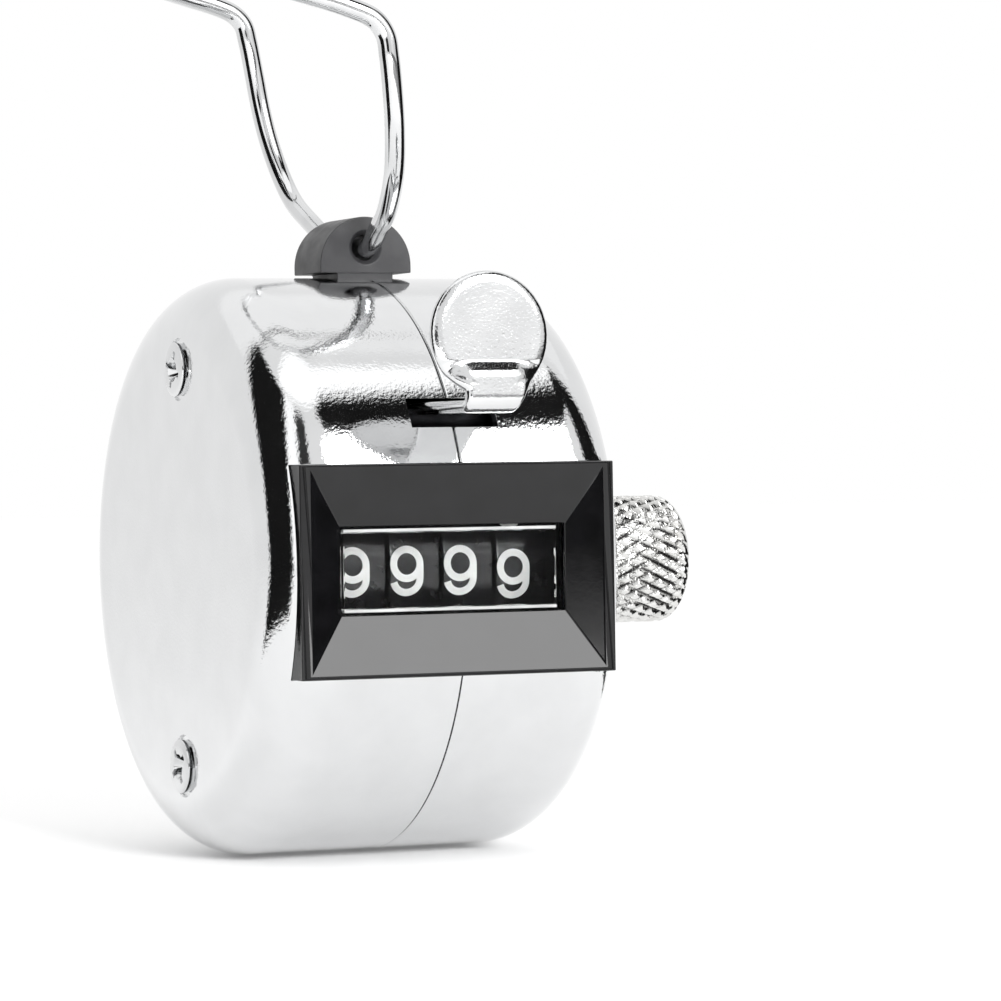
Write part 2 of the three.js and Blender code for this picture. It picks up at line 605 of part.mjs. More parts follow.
const low = LEVER_LOW - LEVER_Z;
const high = low + LEVER_T;
const reach = PADDLE_Y - LEVER_Y;
const armHole = PAWL_Y - LEVER_Y;

// Paddle outline in X-Z: a round head that narrows to the arm
const headZ = PADDLE_Z - LEVER_Z;
const neckZ = headZ - Math.sqrt(PADDLE_R ** 2 - (NECK_TOP / 2) ** 2);
const headAngle = Math.asin((neckZ - headZ) / PADDLE_R);
const paddleOutline = new THREE.Shape();
paddleOutline.moveTo(LEVER_X - NECK_LOW / 2, low);
paddleOutline.lineTo(LEVER_X + NECK_LOW / 2, low);
paddleOutline.lineTo(LEVER_X + NECK_TOP / 2, neckZ);
paddleOutline.absarc(LEVER_X, headZ, PADDLE_R, headAngle, Math.PI - headAngle);
paddleOutline.closePath();

const armOutline = new THREE.Shape();
armOutline.moveTo(0, -ARM_HALF);
armOutline.lineTo(armHole, -ARM_HALF);
armOutline.absarc(armHole, 0, ARM_HALF, -Math.PI / 2, Math.PI / 2);
armOutline.lineTo(0, ARM_HALF);
armOutline.closePath();

const STRAP_END = -9.5;
const neckHalf = NECK_LOW / 2;
const leverBore = rodX(-OUTSIDE, OUTSIDE, LEVER_SHAFT_R + SLIDE);
place(pivot, 'thumb_lever', cut(
  join(
    rodX(HUB_LEFT, ARM_X + ARM_T, HUB_R),
    box(LEVER_X - LEVER_W / 2, LEVER_X + LEVER_W / 2, STRAP_END, 0, low, high),
    box(LEVER_X - neckHalf, LEVER_X + neckHalf, reach + LEVER_T / 5, STRAP_END + LEVER_T / 2, low, high),
    plateY(paddleOutline, reach, reach + LEVER_T, 28),
    plateX(armOutline, ARM_X, ARM_X + ARM_T)),
  leverBore, rodX(ARM_X - 1, OUTSIDE, PIN_R + PRESS, armHole, 0, 12)), chrome);
place(pivot, 'lever_shaft', rodX(LEVER_SHAFT.left, LEVER_SHAFT.right, LEVER_SHAFT_R), steel);

const clipBore = rodX(-OUTSIDE, OUTSIDE, LEVER_SHAFT_R + 0.02);
[['lever_clip_left', PLATE_LEFT - 0.65], ['lever_clip_right', PLATE_RIGHT + PLATE_T + 0.1]]
  .forEach(([name, x]) => {
    place(pivot, name, cut(rodX(x, x + LEVER_CLIP_W, LEVER_CLIP_R), clipBore), springSteel);
  });
const springCoil = new Coil(RETURN_SPRING.from, RETURN_SPRING.to, RETURN_SPRING.radius, RETURN_SPRING.turns);
place(pivot, 'lever_return_spring', wire(springCoil, RETURN_SPRING.wire, 60, 5), springSteel);
place(pivot, 'pawl_pin', rodX(PAWL_X - 0.15, ARM_X + ARM_T + 0.35, PIN_R, armHole, 0, 16), steel);

// Pawl: hangs from the lever arm, and its toe reaches in under the ratchet
const toeY = WHEEL_Y + RATCHET_R + 0.25 - PAWL_Y;
const toeZ = -0.2 - LEVER_Z;
const pawlOutline = polygon([
  [-0.45, 0.5], [-0.1, -3], [toeY + 0.35, toeZ + 1.4], [toeY, toeZ + 0.25], [toeY, toeZ - 0.4],
  [toeY + 1.1, toeZ - 0.6], [toeY + 1.25, toeZ + 0.8], [1, -3], [0.7, 0.5],
]);
const pawlShapes = [pawlOutline, circleShape(0, 0, PAWL_BOSS_R)];
const pawlGroup = new THREE.Group();
pawlGroup.name = 'pawl_axis';
pawlGroup.position.set(0, armHole, 0);
pivot.add(pawlGroup);
place(pawlGroup, 'drive_pawl', cut(
  join(...pawlShapes.map((shape) => plateX(shape, PAWL_X, PAWL_X + PAWL_T))),
  rodX(-OUTSIDE, OUTSIDE, PIN_R + SLIDE, 0, 0, 12)), steel);
const pawlCoil = new Coil(PAWL_SPRING.from, PAWL_SPRING.to, PAWL_SPRING.radius, PAWL_SPRING.turns);
place(pawlGroup, 'pawl_spring', wire(pawlCoil, PAWL_SPRING.wire, 26, 4), springSteel);

export default counter;
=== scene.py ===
import math

import bmesh
import bpy
from mathutils import Matrix, Vector


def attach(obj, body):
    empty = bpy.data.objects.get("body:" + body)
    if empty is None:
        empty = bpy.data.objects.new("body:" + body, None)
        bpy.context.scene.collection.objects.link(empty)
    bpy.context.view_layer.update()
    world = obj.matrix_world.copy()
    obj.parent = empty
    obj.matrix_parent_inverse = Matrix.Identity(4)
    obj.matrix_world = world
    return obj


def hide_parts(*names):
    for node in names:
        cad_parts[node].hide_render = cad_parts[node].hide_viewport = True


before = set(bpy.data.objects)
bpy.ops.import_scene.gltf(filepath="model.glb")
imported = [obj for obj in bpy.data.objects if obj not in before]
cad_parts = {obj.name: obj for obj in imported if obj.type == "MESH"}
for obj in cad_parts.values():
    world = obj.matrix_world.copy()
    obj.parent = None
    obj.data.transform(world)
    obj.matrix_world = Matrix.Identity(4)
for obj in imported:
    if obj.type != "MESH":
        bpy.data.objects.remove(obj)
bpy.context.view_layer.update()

# ---- dimensions, in millimetres from the drum's centre ---------------------------------------

MM = 0.001
OUTSIDE = -30.0
SEAM_X, SEAM_GAP, SEAM_LIP = 0.6, 0.08, 0.16
DRUM_R, DRUM_HALF, WALL, FILLET = 23.0, 15.0, 0.8, 5.2
HOLE_Z = 25.38

BEZEL_X, BEZEL_TOP, BEZEL_LOW, BEZEL_FRONT, BEZEL_BACK = 13.0, 7.95, -8.3, -22.6, -19.6
RIM_X, RIM_TOP, RIM_LOW = 12.1, 7.4, -7.7
WIN_X, WIN_TOP, WIN_LOW, WIN_Y = 9.3, 3.2, -3.5, -21.4
REBATE_X, REBATE_TOP, REBATE_LOW, REBATE_Y = 10.28, 4.38, -4.68, -21.1
FLANGE_X, FLANGE_TOP, FLANGE_LOW, FLANGE_FRONT, FLANGE_BACK = 10.2, 4.3, -4.6, -21.08, -20.1
PANE_LEFT, PANE_RIGHT, PANE_TOP, PANE_LOW = -9.2, 8.45, 3.02, -3.3
PANE_FRONT, PANE_BACK, PANE_EDGE, EDGE_BACK = -21.73, -20.6, 0.26, -21.3

SLOT_X, SLOT_LOW, SLOT_HIGH, SLOT_BACK = 3.6, 10.7, 12.95, -17.0
SCREW_Y, SCREW_Z = -1.5, 15.7
SINK_R, SINK_FOOT_R, SINK_DEPTH = 2.5, 2.4, 0.28
HEAD_R, HEAD_FOOT_R, HEAD_OUT, HEAD_T, HEAD_DOME = 2.15, 2.05, 0.52, 0.84, 0.2
SHANK_R, SHANK_TIP_R, SHANK_END, SHANK_TIP = 0.95, 0.6, 9.2, 9.5
CROSS_LONG, CROSS_WIDE, CROSS_DEEP = 1.5, 0.26, 0.85
CROSS_TURNS = {"upper": 22, "lower": 58}
BOSS_R, BOSS_BORE, BOSS_START, BOSS_END = 2.8, 1.15, -14.3, -11.9
POST_R, POST_BORE, POST_START, POST_FLOOR, POST_END = 2.6, 1.05, -11.8, -4.0, 14.25

LUG_R, LUG_MID, LUG_BASE, LUG_HALF, LUG_HOLE = 3.9, 23.95, 23.35, 2.95, 1.05
MOUTH_GROWS, MOUTH_DEEP = 0.35, 0.4
NECK_X, NECK_Y, NECK_FOOT, NECK_FIT = 2.4, 2.75, 20.9, 0.04
FOOT_X, FOOT_Y, FOOT_LOW, FOOT_TOP = 3.0, 3.35, 20.4, 21.5
WIRE_R = 0.8

WHEEL_Y, WHEEL_R, WHEEL_W, PITCH, ROW_X = -8.3, 8.8, 2.8, 4.48, -0.02
WHEEL_BORE, WHEEL_CORNER = 1.28, 0.22
GEAR_ROOT, GEAR_TIP, GEAR_TEETH, GEAR_T = 6.25, 7.55, 20, 0.75
LOCK_R, LOCK_T = 6.1, 0.6
RATCHET_TIP, RATCHET_ROOT, RATCHET_TEETH, RATCHET_T = 2.9, 2.2, 10, 1.6

KNOB_R, KNOB_START, KNOB_END = 5.12, 15.3, 24.4
COLLAR_R, COLLAR_T, SHAFT_HOLE_R = 4.1, 0.95, 1.6

LEVER_X, LEVER_Y, LEVER_Z, LEVER_LOW = 0.75, -15.0, 11.4, 11.65
PADDLE_Y, PADDLE_Z, PADDLE_R = -28.3, 17.6, 4.8
HUB_R, HUB_BORE, HUB_LEFT, HUB_RIGHT = 1.7, 0.98, -3.2, 10.7
PAWL_PIN_Y, PAWL_PIN_R, PAWL_ARM_HALF, PAWL_ARM_LEFT = -6.0, 0.53, 1.3, 9.7


def at(x, y, z):
    """A point given in millimetres from the drum's centre, in the row frame."""
    return Vector(((x - SEAM_X) * MM, y * MM, (z - HOLE_Z) * MM))


# ---- mesh helpers ----------------------------------------------------------------------------

def add_mesh(name, points, faces):
    """A mesh object from points in drum millimetres."""
    mesh = bpy.data.meshes.new(name)
    mesh.from_pydata([at(*p) for p in points], [], faces)
    mesh.update()
    obj = bpy.data.objects.new(name, mesh)
    bpy.context.scene.collection.objects.link(obj)
    bm = bmesh.new()
    bm.from_mesh(mesh)
    bmesh.ops.remove_doubles(bm, verts=bm.verts, dist=1e-8)
    bmesh.ops.recalc_face_normals(bm, faces=bm.faces)
    bm.to_mesh(mesh)
    bm.free()
    return obj


def lathe(name, profile, segments, place):
    """Turns a closed profile of (radius, distance along the axis) about that axis."""
    points, faces, rows = [], [], []
    for radius, along in profile:
        if radius < 1e-6:
            rows.append([len(points)] * segments)
            points.append(place(along, 0.0, 0.0))
            continue
        rows.append(list(range(len(points), len(points) + segments)))
        for i in range(segments):
            a = 2 * math.pi * i / segments
            points.append(place(along, radius * math.cos(a), radius * math.sin(a)))
    for k in range(len(rows)):
        a, b = rows[k], rows[(k + 1) % len(rows)]
        for i in range(segments):
            j = (i + 1) % segments
            corners = list(dict.fromkeys([a[i], a[j], b[j], b[i]]))
            if len(corners) > 2:
                faces.append(corners)
    return add_mesh(name, points, faces)


def lathe_x(name, profile, segments, cy=0.0, cz=0.0):
    return lathe(name, profile, segments, lambda x, u, v: (x, cy + u, cz + v))


def lathe_y(name, profile, segments, cx, cz):
    return lathe(name, profile, segments, lambda y, u, v: (cx + u, y, cz + v))


def rod(name, radius, x0, x1, segments, cy, cz):
    """A plain round bar along X."""
    return lathe_x(name, [(0, x0), (radius, x0), (radius, x1), (0, x1)], segments, cy, cz)


def prism(name, outline, low, high, axis):
    """An outline made thick along one axis: (y, z) along X, or (x, z) along Y."""
    place = {"x": lambda u, v, w: (w, u, v), "y": lambda u, v, w: (u, w, v)}[axis]
    n = len(outline)
    points = [place(u, v, w) for w in (low, high) for u, v in outline]
    faces = [list(range(n)), list(range(2 * n - 1, n - 1, -1))]
    faces += [[i, (i + 1) % n, n + (i + 1) % n, n + i] for i in range(n)]
    return add_mesh(name, points, faces)


def block(name, x0, x1, y0, y1, z0, z1):
    return prism(name, [(x0, z0), (x1, z0), (x1, z1), (x0, z1)], y0, y1, "y")


def apply_all(obj):
    """Applies the object's modifiers to its mesh."""
    graph = bpy.context.evaluated_depsgraph_get()
    mesh = bpy.data.meshes.new_from_object(obj.evaluated_get(graph))
    obj.modifiers.clear()
    obj.data = mesh
    return obj


def combine(obj, other, operation):
    """Cuts or joins another closed mesh, which is used up."""
    mod = obj.modifiers.new("op", "BOOLEAN")
    mod.operation = operation
    mod.solver = "EXACT"
    mod.object = other
    bpy.context.view_layer.update()
    apply_all(obj)
    bpy.data.objects.remove(other)
    return obj


def bevel(obj, width, segments, angle):
    """Rounds the edges that are sharper than the angle."""
    mod = obj.modifiers.new("bevel", "BEVEL")
    mod.width = width * MM
    mod.segments = segments
    mod.limit_method = "ANGLE"
    mod.angle_limit = math.radians(angle)
    mod.use_clamp_overlap = True
    mod.harden_normals = False
    return apply_all(obj)


def smooth(obj, angle=32):
    """Smooth shading in which the large faces stay flat and sharp edges stay sharp."""
    obj.data.polygons.foreach_set("use_smooth", [True] * len(obj.data.polygons))
    obj.data.set_sharp_from_angle(angle=math.radians(angle))
    mod = obj.modifiers.new("normals", "WEIGHTED_NORMAL")
    mod.keep_sharp = True
    mod.weight = 100
    return apply_all(obj)


def ellipse(cu, cv, ru, rv, start=0, end=360, steps=40):
    """Points on an ellipse, angles in degrees."""
    turns = [math.radians(start + (end - start) * i / steps) for i in range(steps + 1)]
    return [(cu + ru * math.cos(a), cv + rv * math.sin(a)) for a in turns]


# ---- materials -------------------------------------------------------------------------------

METAL_PATCHES, PLASTIC_PATCHES, PLASTIC_GLOSS_PATCHES = 260, 420, 700


def new_material(name, color, metallic, roughness):
    mat = bpy.data.materials.new(name)
    mat.use_nodes = True
    shader = mat.node_tree.nodes["Principled BSDF"]
    shader.inputs["Base Color"].default_value = (*color, 1)
    shader.inputs["Metallic"].default_value = metallic
    shader.inputs["Roughness"].default_value = roughness
    return mat, mat.node_tree, shader


def noise_of(tree, scale, detail=4.0, stretch=(1, 1, 1)):
    """Noise in object space, in features per metre, that can be stretched along an axis."""
    coord = tree.nodes.new("ShaderNodeTexCoord")
    mapping = tree.nodes.new("ShaderNodeMapping")
    mapping.inputs["Scale"].default_value = stretch
    noise = tree.nodes.new("ShaderNodeTexNoise")
    noise.inputs["Scale"].default_value = scale
    noise.inputs["Detail"].default_value = detail
    tree.links.new(coord.outputs["Object"], mapping.inputs["Vector"])
    tree.links.new(mapping.outputs["Vector"], noise.inputs["Vector"])
    return noise


def map_range(tree, source, start, end):
    """Spreads the part of a value between start and end over 0 to 1."""
    spread = tree.nodes.new("ShaderNodeMapRange")
    spread.inputs["From Min"].default_value = start
    spread.inputs["From Max"].default_value = end
    tree.links.new(source, spread.inputs["Value"])
    return spread


def vary_roughness(tree, shader, low, high, scale, stretch=(1, 1, 1)):
    spread = map_range(tree, noise_of(tree, scale, 5.0, stretch).outputs["Fac"], 0.3, 0.7)
    spread.inputs["To Min"].default_value = low
    spread.inputs["To Max"].default_value = high
    tree.links.new(spread.outputs["Result"], shader.inputs["Roughness"])


def vary_colour(tree, shader, first, second, scale, stretch=(1, 1, 1)):
    noise = noise_of(tree, scale, 6.0, stretch)
    ramp_node = tree.nodes.new("ShaderNodeValToRGB")
    for element, position, color in zip(ramp_node.color_ramp.elements, (0.35, 0.65), (first, second)):
        element.position = position
        element.color = (*color, 1)
    tree.links.new(noise.outputs["Fac"], ramp_node.inputs["Fac"])
    tree.links.new(ramp_node.outputs["Color"], shader.inputs["Base Color"])


def add_bump(tree, shader, scale, strength, distance, stretch=(1, 1, 1)):
    noise = noise_of(tree, scale, 3.0, stretch)
    bump = tree.nodes.new("ShaderNodeBump")
    bump.inputs["Strength"].default_value = strength
    bump.inputs["Distance"].default_value = distance
    tree.links.new(noise.outputs["Fac"], bump.inputs["Height"])
    tree.links.new(bump.outputs["Normal"], shader.inputs["Normal"])


def metal(name, first, second, rough, scale, bump, stretch=(1, 1, 1)):
    """Two colours in patches, a roughness range, and a bump of (scale, strength, distance)."""
    mat, tree, shader = new_material(name, first, 1.0, rough[0])
    vary_colour(tree, shader, first, second, METAL_PATCHES, stretch)
    vary_roughness(tree, shader, rough[0], rough[1], scale, stretch)
    add_bump(tree, shader, bump[0], bump[1], bump[2], stretch)
    return mat


def plastic(name, first, second, rough, bump, specular=0.5):
    mat, tree, shader = new_material(name, first, 0.0, rough[0])
    shader.inputs["Specular IOR Level"].default_value = specular
    vary_colour(tree, shader, first, second, PLASTIC_PATCHES)
    vary_roughness(tree, shader, rough[0], rough[1], PLASTIC_GLOSS_PATCHES)
    add_bump(tree, shader, bump[0], bump[1], bump[2])
    return mat


def knurled_metal():
    """Plated metal whose grooves, marked on the mesh, carry painted shade, darker in some patches than in
    others.
    """
    mat = metal("chrome_knurl", (0.74, 0.74, 0.73), (0.62, 0.615, 0.6),
                (0.06, 0.14), 900, (3200, 1.0, 0.00003))
    tree = mat.node_tree
    shader = tree.nodes["Principled BSDF"]
    plated = shader.inputs["Base Color"].links[0].from_socket
    # Painted shade: the groove_shade attribute marks the knurl's grooves, and there the plating is
    # darkened towards near black, broken up in patches by noise.
    groove_shade = tree.nodes.new("ShaderNodeAttribute")
    groove_shade.attribute_name = "groove_shade"
    mix = tree.nodes.new("ShaderNodeMix")
    mix.data_type = "RGBA"
    patchy_groove_shade = map_range(tree, noise_of(tree, 900, 4.0, (0.5, 1, 1)).outputs["Fac"], 0.34, 0.5)
    tree.links.new(groove_shade.outputs["Fac"], patchy_groove_shade.inputs["To Max"])
    tree.links.new(patchy_groove_shade.outputs["Result"], mix.inputs["Factor"])
    tree.links.new(plated, mix.inputs["A"])
    # The near-black colour of the painted shade in the grooves.
    mix.inputs["B"].default_value = (0.02, 0.02, 0.02, 1)
    tree.links.new(mix.outputs["Result"], shader.inputs["Base Color"])
    return mat


def clear_plastic():
    mat, tree, shader = new_material("clear_lens", (0.97, 0.98, 0.98), 0.0, 0.02)
    shader.inputs["Transmission Weight"].default_value = 1.0
    shader.inputs["IOR"].default_value = 1.22
    vary_roughness(tree, shader, 0.01, 0.04, 500)
    add_bump(tree, shader, 700, 0.03, 0.00001)
    return mat


CHROME = metal("chrome_plate", (0.72, 0.725, 0.73), (0.69, 0.695, 0.7),
               (0.035, 0.08), 300, (3600, 1.0, 0.000012))
CHROME_PEEL = metal("chrome_peel", (0.72, 0.725, 0.73), (0.66, 0.665, 0.67),
                    (0.07, 0.13), 900, (5200, 1.0, 0.000015))
CHROME_WIRE = metal("chrome_wire", (0.7, 0.705, 0.71), (0.6, 0.605, 0.61),
                    (0.05, 0.12), 500, (1500, 0.08, 0.00002))
CHROME_KNURL = knurled_metal()
STEEL = metal("brushed_steel", (0.6, 0.605, 0.61), (0.5, 0.505, 0.51),
              (0.25, 0.42), 800, (1800, 0.2, 0.00002), (1, 1, 8))
SPRING = metal("spring_steel", (0.46, 0.47, 0.49), (0.36, 0.37, 0.39),
               (0.2, 0.35), 900, (2000, 0.15, 0.00002), (6, 1, 1))
BRASS = metal("turned_brass", (0.72, 0.56, 0.26), (0.6, 0.45, 0.2),
              (0.2, 0.35), 800, (2400, 0.2, 0.00002), (8, 1, 1))
BLACKENED = metal("blackened_steel", (0.05, 0.05, 0.055), (0.03, 0.03, 0.033),
                  (0.4, 0.55), 800, (2000, 0.2, 0.00002))
GLOSS = plastic("black_gloss", (0.002, 0.002, 0.0022), (0.004, 0.004, 0.0045),
                (0.05, 0.09), (2600, 0.06, 0.00001), 0.42)
SATIN = plastic("black_satin", (0.027, 0.027, 0.029), (0.04, 0.04, 0.042),
                (0.36, 0.5), (5200, 0.25, 0.00002), 0.45)
WHEEL = plastic("wheel_black", (0.008, 0.008, 0.009), (0.014, 0.014, 0.015),
                (0.18, 0.28), (3600, 0.2, 0.00002))
# Pale grey for the pane's edge strips: painted light, standing in for light that the clear plastic
# carries to its edges.
PAINTED_EDGE_LIGHT = plastic("lens_edge_painted_light", (0.42, 0.425, 0.425), (0.26, 0.265, 0.265),
               (0.3, 0.45), (2600, 0.1, 0.00001))
NYLON = plastic("natural_nylon", (0.72, 0.7, 0.62), (0.62, 0.6, 0.52),
                (0.4, 0.55), (3000, 0.15, 0.00002))
PAINT = plastic("digit_paint", (0.86, 0.86, 0.84), (0.76, 0.76, 0.74),
                (0.4, 0.55), (4800, 0.2, 0.00001))
CLEAR = clear_plastic()


def finish_piece(obj, material, slot, body, *nodes):
    """Gives a piece its material and body, and hides the CAD nodes it stands for. The slot argument is
    not used.
    """
    obj.data.materials.clear()
    obj.data.materials.append(material)
    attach(obj, body)
    if nodes:
        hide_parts(*nodes)
    return obj


# ---- casing halves ---------------------------------------------------------------------------

CASING_SIDES = 224
FILLET_STEPS = 20
LIP_STEPS = 4
CUT_GAP = 0.03
WINDOW_CUT_BACK = -15.0
NECK_CUT_LOW, NECK_CUT_HIGH = 18, 26
LEVELS = (("lower", -1), ("upper", 1))


def shell_profile(side):
    """The casing half's section: its outside from the middle to the seam, then its inside back."""
    seam = SEAM_X + side * SEAM_GAP / 2
    mid_r, mid_x = DRUM_R - FILLET, DRUM_HALF - FILLET
    outer = [(0.0, side * DRUM_HALF), (mid_r * 0.5, side * DRUM_HALF)]
    inner = [(0.0, side * (DRUM_HALF - WALL))]
    for i in range(FILLET_STEPS + 1):
        a = math.pi / 2 * i / FILLET_STEPS
        outer.append((mid_r + FILLET * math.sin(a), side * (mid_x + FILLET * math.cos(a))))
        if i % 2 == 0:
            inside = FILLET - WALL
            inner.append((mid_r + inside * math.sin(a), side * (mid_x + inside * math.cos(a))))
    for i in range(LIP_STEPS + 1):
        a = math.pi / 2 * i / LIP_STEPS
        outer.append((DRUM_R - SEAM_LIP + SEAM_LIP * math.cos(a),
                      seam + side * SEAM_LIP * (1 - math.sin(a))))
    inner.append((DRUM_R - WALL, seam))
    return outer + inner[::-1]


def casing(name, side):
    """Half of the drum, with the openings for the bezel, the lever, the lug and the screws or knob."""
    body = lathe_x(name, shell_profile(side), CASING_SIDES)
    neck_x, neck_y = NECK_X + NECK_FIT, NECK_Y + NECK_FIT
    cutters = [
        block("cut", -BEZEL_X - CUT_GAP, BEZEL_X + CUT_GAP, OUTSIDE, WINDOW_CUT_BACK,
              BEZEL_LOW - CUT_GAP, BEZEL_TOP + CUT_GAP),
        block("cut", LEVER_X - SLOT_X, LEVER_X + SLOT_X, OUTSIDE, SLOT_BACK, SLOT_LOW, SLOT_HIGH),
        block("cut", SEAM_X - neck_x, SEAM_X + neck_x, -neck_y, neck_y, NECK_CUT_LOW, NECK_CUT_HIGH),
    ]
    if side < 0:
        floor_x = -DRUM_HALF + SINK_DEPTH
        sink = [(0, -16), (SINK_R, -16), (SINK_R, -DRUM_HALF - 0.02),
                (SINK_FOOT_R, floor_x), (0, floor_x)]
        cutters += [lathe_x("cut", sink, 48, SCREW_Y, up * SCREW_Z) for _, up in LEVELS]
    else:
        cutters.append(rod("cut", SHAFT_HOLE_R, 10, 20, 48, WHEEL_Y, 0))
    for cutter in cutters:
        combine(body, cutter, "DIFFERENCE")
    bevel(body, 0.11, 3, 50)
    return smooth(body, 30)


left_half = casing("casing_left", -1)
boss_profile = [(BOSS_BORE, BOSS_START), (BOSS_R, BOSS_START), (BOSS_R, BOSS_END), (BOSS_BORE, BOSS_END)]
for level, up in LEVELS:
    boss = lathe_x("left_boss_" + level, boss_profile, 48, SCREW_Y, up * SCREW_Z)
    finish_piece(smooth(boss), STEEL, "chrome", "casing")
finish_piece(left_half, CHROME, "chrome", "casing", "left_casing")

right_half = casing("casing_right", 1)
post_profile = [
    (POST_BORE, POST_START), (POST_R - 0.2, POST_START), (POST_R, POST_START + 0.2), (POST_R, POST_END),
    (0.0, POST_END), (0.0, POST_FLOOR), (POST_BORE, POST_FLOOR),
]
for level, up in LEVELS:
    post = lathe_x("casing_post_" + level, post_profile, 48, SCREW_Y, up * SCREW_Z)
    finish_piece(smooth(post), STEEL, "chrome", "casing")
finish_piece(right_half, CHROME, "chrome", "casing", "right_casing")


# ---- casing screws ---------------------------------------------------------------------------

def pan_head_screw(name, z, turn):
    """A low domed head with a cross recess, on a plain shank."""
    out = -DRUM_HALF - HEAD_OUT
    steps = 8
    head = [(0.0, out)]
    for i in range(1, steps + 1):
        t = i / steps
        head.append((HEAD_R * math.sin(t * math.pi / 2) ** 0.85, out + HEAD_DOME * t ** 3))
    head += [(HEAD_FOOT_R, out + HEAD_T), (SHANK_R, out + HEAD_T + 0.02), (SHANK_R, out + SHANK_END),
             (SHANK_TIP_R, out + SHANK_TIP), (0.0, out + SHANK_TIP)]
    obj = lathe_x(name, head, 64, SCREW_Y, z)
    for angle in (turn, turn + 90):
        a = math.radians(angle)
        wing = []
        for u, v in ((-CROSS_LONG, -CROSS_WIDE), (CROSS_LONG, -CROSS_WIDE),
                     (CROSS_LONG, CROSS_WIDE), (-CROSS_LONG, CROSS_WIDE)):
            wing.append((SCREW_Y + u * math.cos(a) - v * math.sin(a),
                         z + u * math.sin(a) + v * math.cos(a)))
        combine(obj, prism("wing", wing, out - 0.5, out + CROSS_DEEP, "x"), "DIFFERENCE")
    cone = lathe_x("cone", [(0, out - 0.4), (1.2, out - 0.4), (0.5, out + 1.0), (0, out + 1.4)],
                   32, SCREW_Y, z)
    combine(obj, cone, "DIFFERENCE")
    bevel(obj, 0.05, 2, 40)
    return smooth(obj, 35)


for level, up in LEVELS[::-1]:
    node = "casing_screw_" + level
    screw = pan_head_screw(node + "_head", up * SCREW_Z, CROSS_TURNS[level])
    finish_piece(screw, CHROME_WIRE, "chrome", "casing", node)


# ---- bezel and lens --------------------------------------------------------------------------

def bezel_piece():
    """A frame with a flat rim, and four facets that slope in to the window."""
    loops = []
    for x, low, high, y in (
        (BEZEL_X, BEZEL_LOW, BEZEL_TOP, BEZEL_BACK),
        (BEZEL_X, BEZEL_LOW, BEZEL_TOP, BEZEL_FRONT),
        (RIM_X, RIM_LOW, RIM_TOP, BEZEL_FRONT),
        (WIN_X, WIN_LOW, WIN_TOP, WIN_Y),
        (WIN_X, WIN_LOW, WIN_TOP, REBATE_Y),
        (REBATE_X, REBATE_LOW, REBATE_TOP, REBATE_Y),
        (REBATE_X, REBATE_LOW, REBATE_TOP, BEZEL_BACK),
    ):
        loops.append([(-x, y, low), (x, y, low), (x, y, high), (-x, y, high)])
    points = [p for ring in loops for p in ring]
    faces = []
    for k in range(len(loops)):
        a, b = 4 * k, 4 * ((k + 1) % len(loops))
        faces += [[a + i, a + (i + 1) % 4, b + (i + 1) % 4, b + i] for i in range(4)]
    obj = add_mesh("bezel_frame", points, faces)
    bevel(obj, 0.09, 4, 18)
    return smooth(obj, 40)


finish_piece(bezel_piece(), GLOSS, "black_gloss", "casing", "bezel")

lens = block("window_pane", -FLANGE_X, FLANGE_X, FLANGE_FRONT, FLANGE_BACK, FLANGE_LOW, FLANGE_TOP)
raised = block("raised", PANE_LEFT, PANE_RIGHT, PANE_FRONT, PANE_BACK, PANE_LOW + PANE_EDGE,
               PANE_TOP - PANE_EDGE)
combine(lens, raised, "UNION")
bevel(lens, 0.1, 3, 40)
# Pale strips along the pane's top and low edges: painted light where the clear plastic glows at its
# edges.
for name, low, high in (("window_pane_edge_light_top", PANE_TOP - PANE_EDGE + 0.02, PANE_TOP),
                        ("window_pane_edge_light_low", PANE_LOW, PANE_LOW + PANE_EDGE - 0.02)):
    edge = block(name, PANE_LEFT, PANE_RIGHT, PANE_FRONT - 0.02, EDGE_BACK, low, high)
    bevel(edge, 0.05, 3, 40)
    finish_piece(smooth(edge, 40), PAINTED_EDGE_LIGHT, "clear", "casing")
finish_piece(smooth(lens, 40), CLEAR, "clear", "casing", "window_lens")


# ---- lug -------------------------------------------------------------------------------------

def lug_piece():
    """A half-round lug on a neck through the drum, with a foot inside and a flared hole."""
    outline = [(SEAM_X - LUG_R, LUG_BASE), (SEAM_X + LUG_R, LUG_BASE)]
    outline += ellipse(SEAM_X, LUG_MID, LUG_R, LUG_R, 0, 180, 48)
    obj = prism("ring_lug_body", outline, -LUG_HALF, LUG_HALF, "y")
    neck = block("neck", SEAM_X - NECK_X, SEAM_X + NECK_X, -NECK_Y, NECK_Y, NECK_FOOT, LUG_BASE + 0.3)
    combine(obj, neck, "UNION")
    foot = block("foot", SEAM_X - FOOT_X, SEAM_X + FOOT_X, -FOOT_Y, FOOT_Y, FOOT_LOW, FOOT_TOP)
    combine(obj, foot, "UNION")
    mouth = LUG_HOLE + MOUTH_GROWS
    face, deep = LUG_HALF + 0.02, LUG_HALF - MOUTH_DEEP
    bore = lathe_y("bore", [(0, -4), (mouth, -4), (mouth, -face), (LUG_HOLE, -deep), (LUG_HOLE, deep),
                            (mouth, face), (mouth, 4), (0, 4)], 48, SEAM_X, HOLE_Z)
    combine(obj, bore, "DIFFERENCE")
    bevel(obj, 0.09, 3, 40)
    return smooth(obj, 35)


finish_piece(lug_piece(), SATIN, "black_matt", "casing", "ring_lug")


# ---- finger ring -----------------------------------------------------------------------------

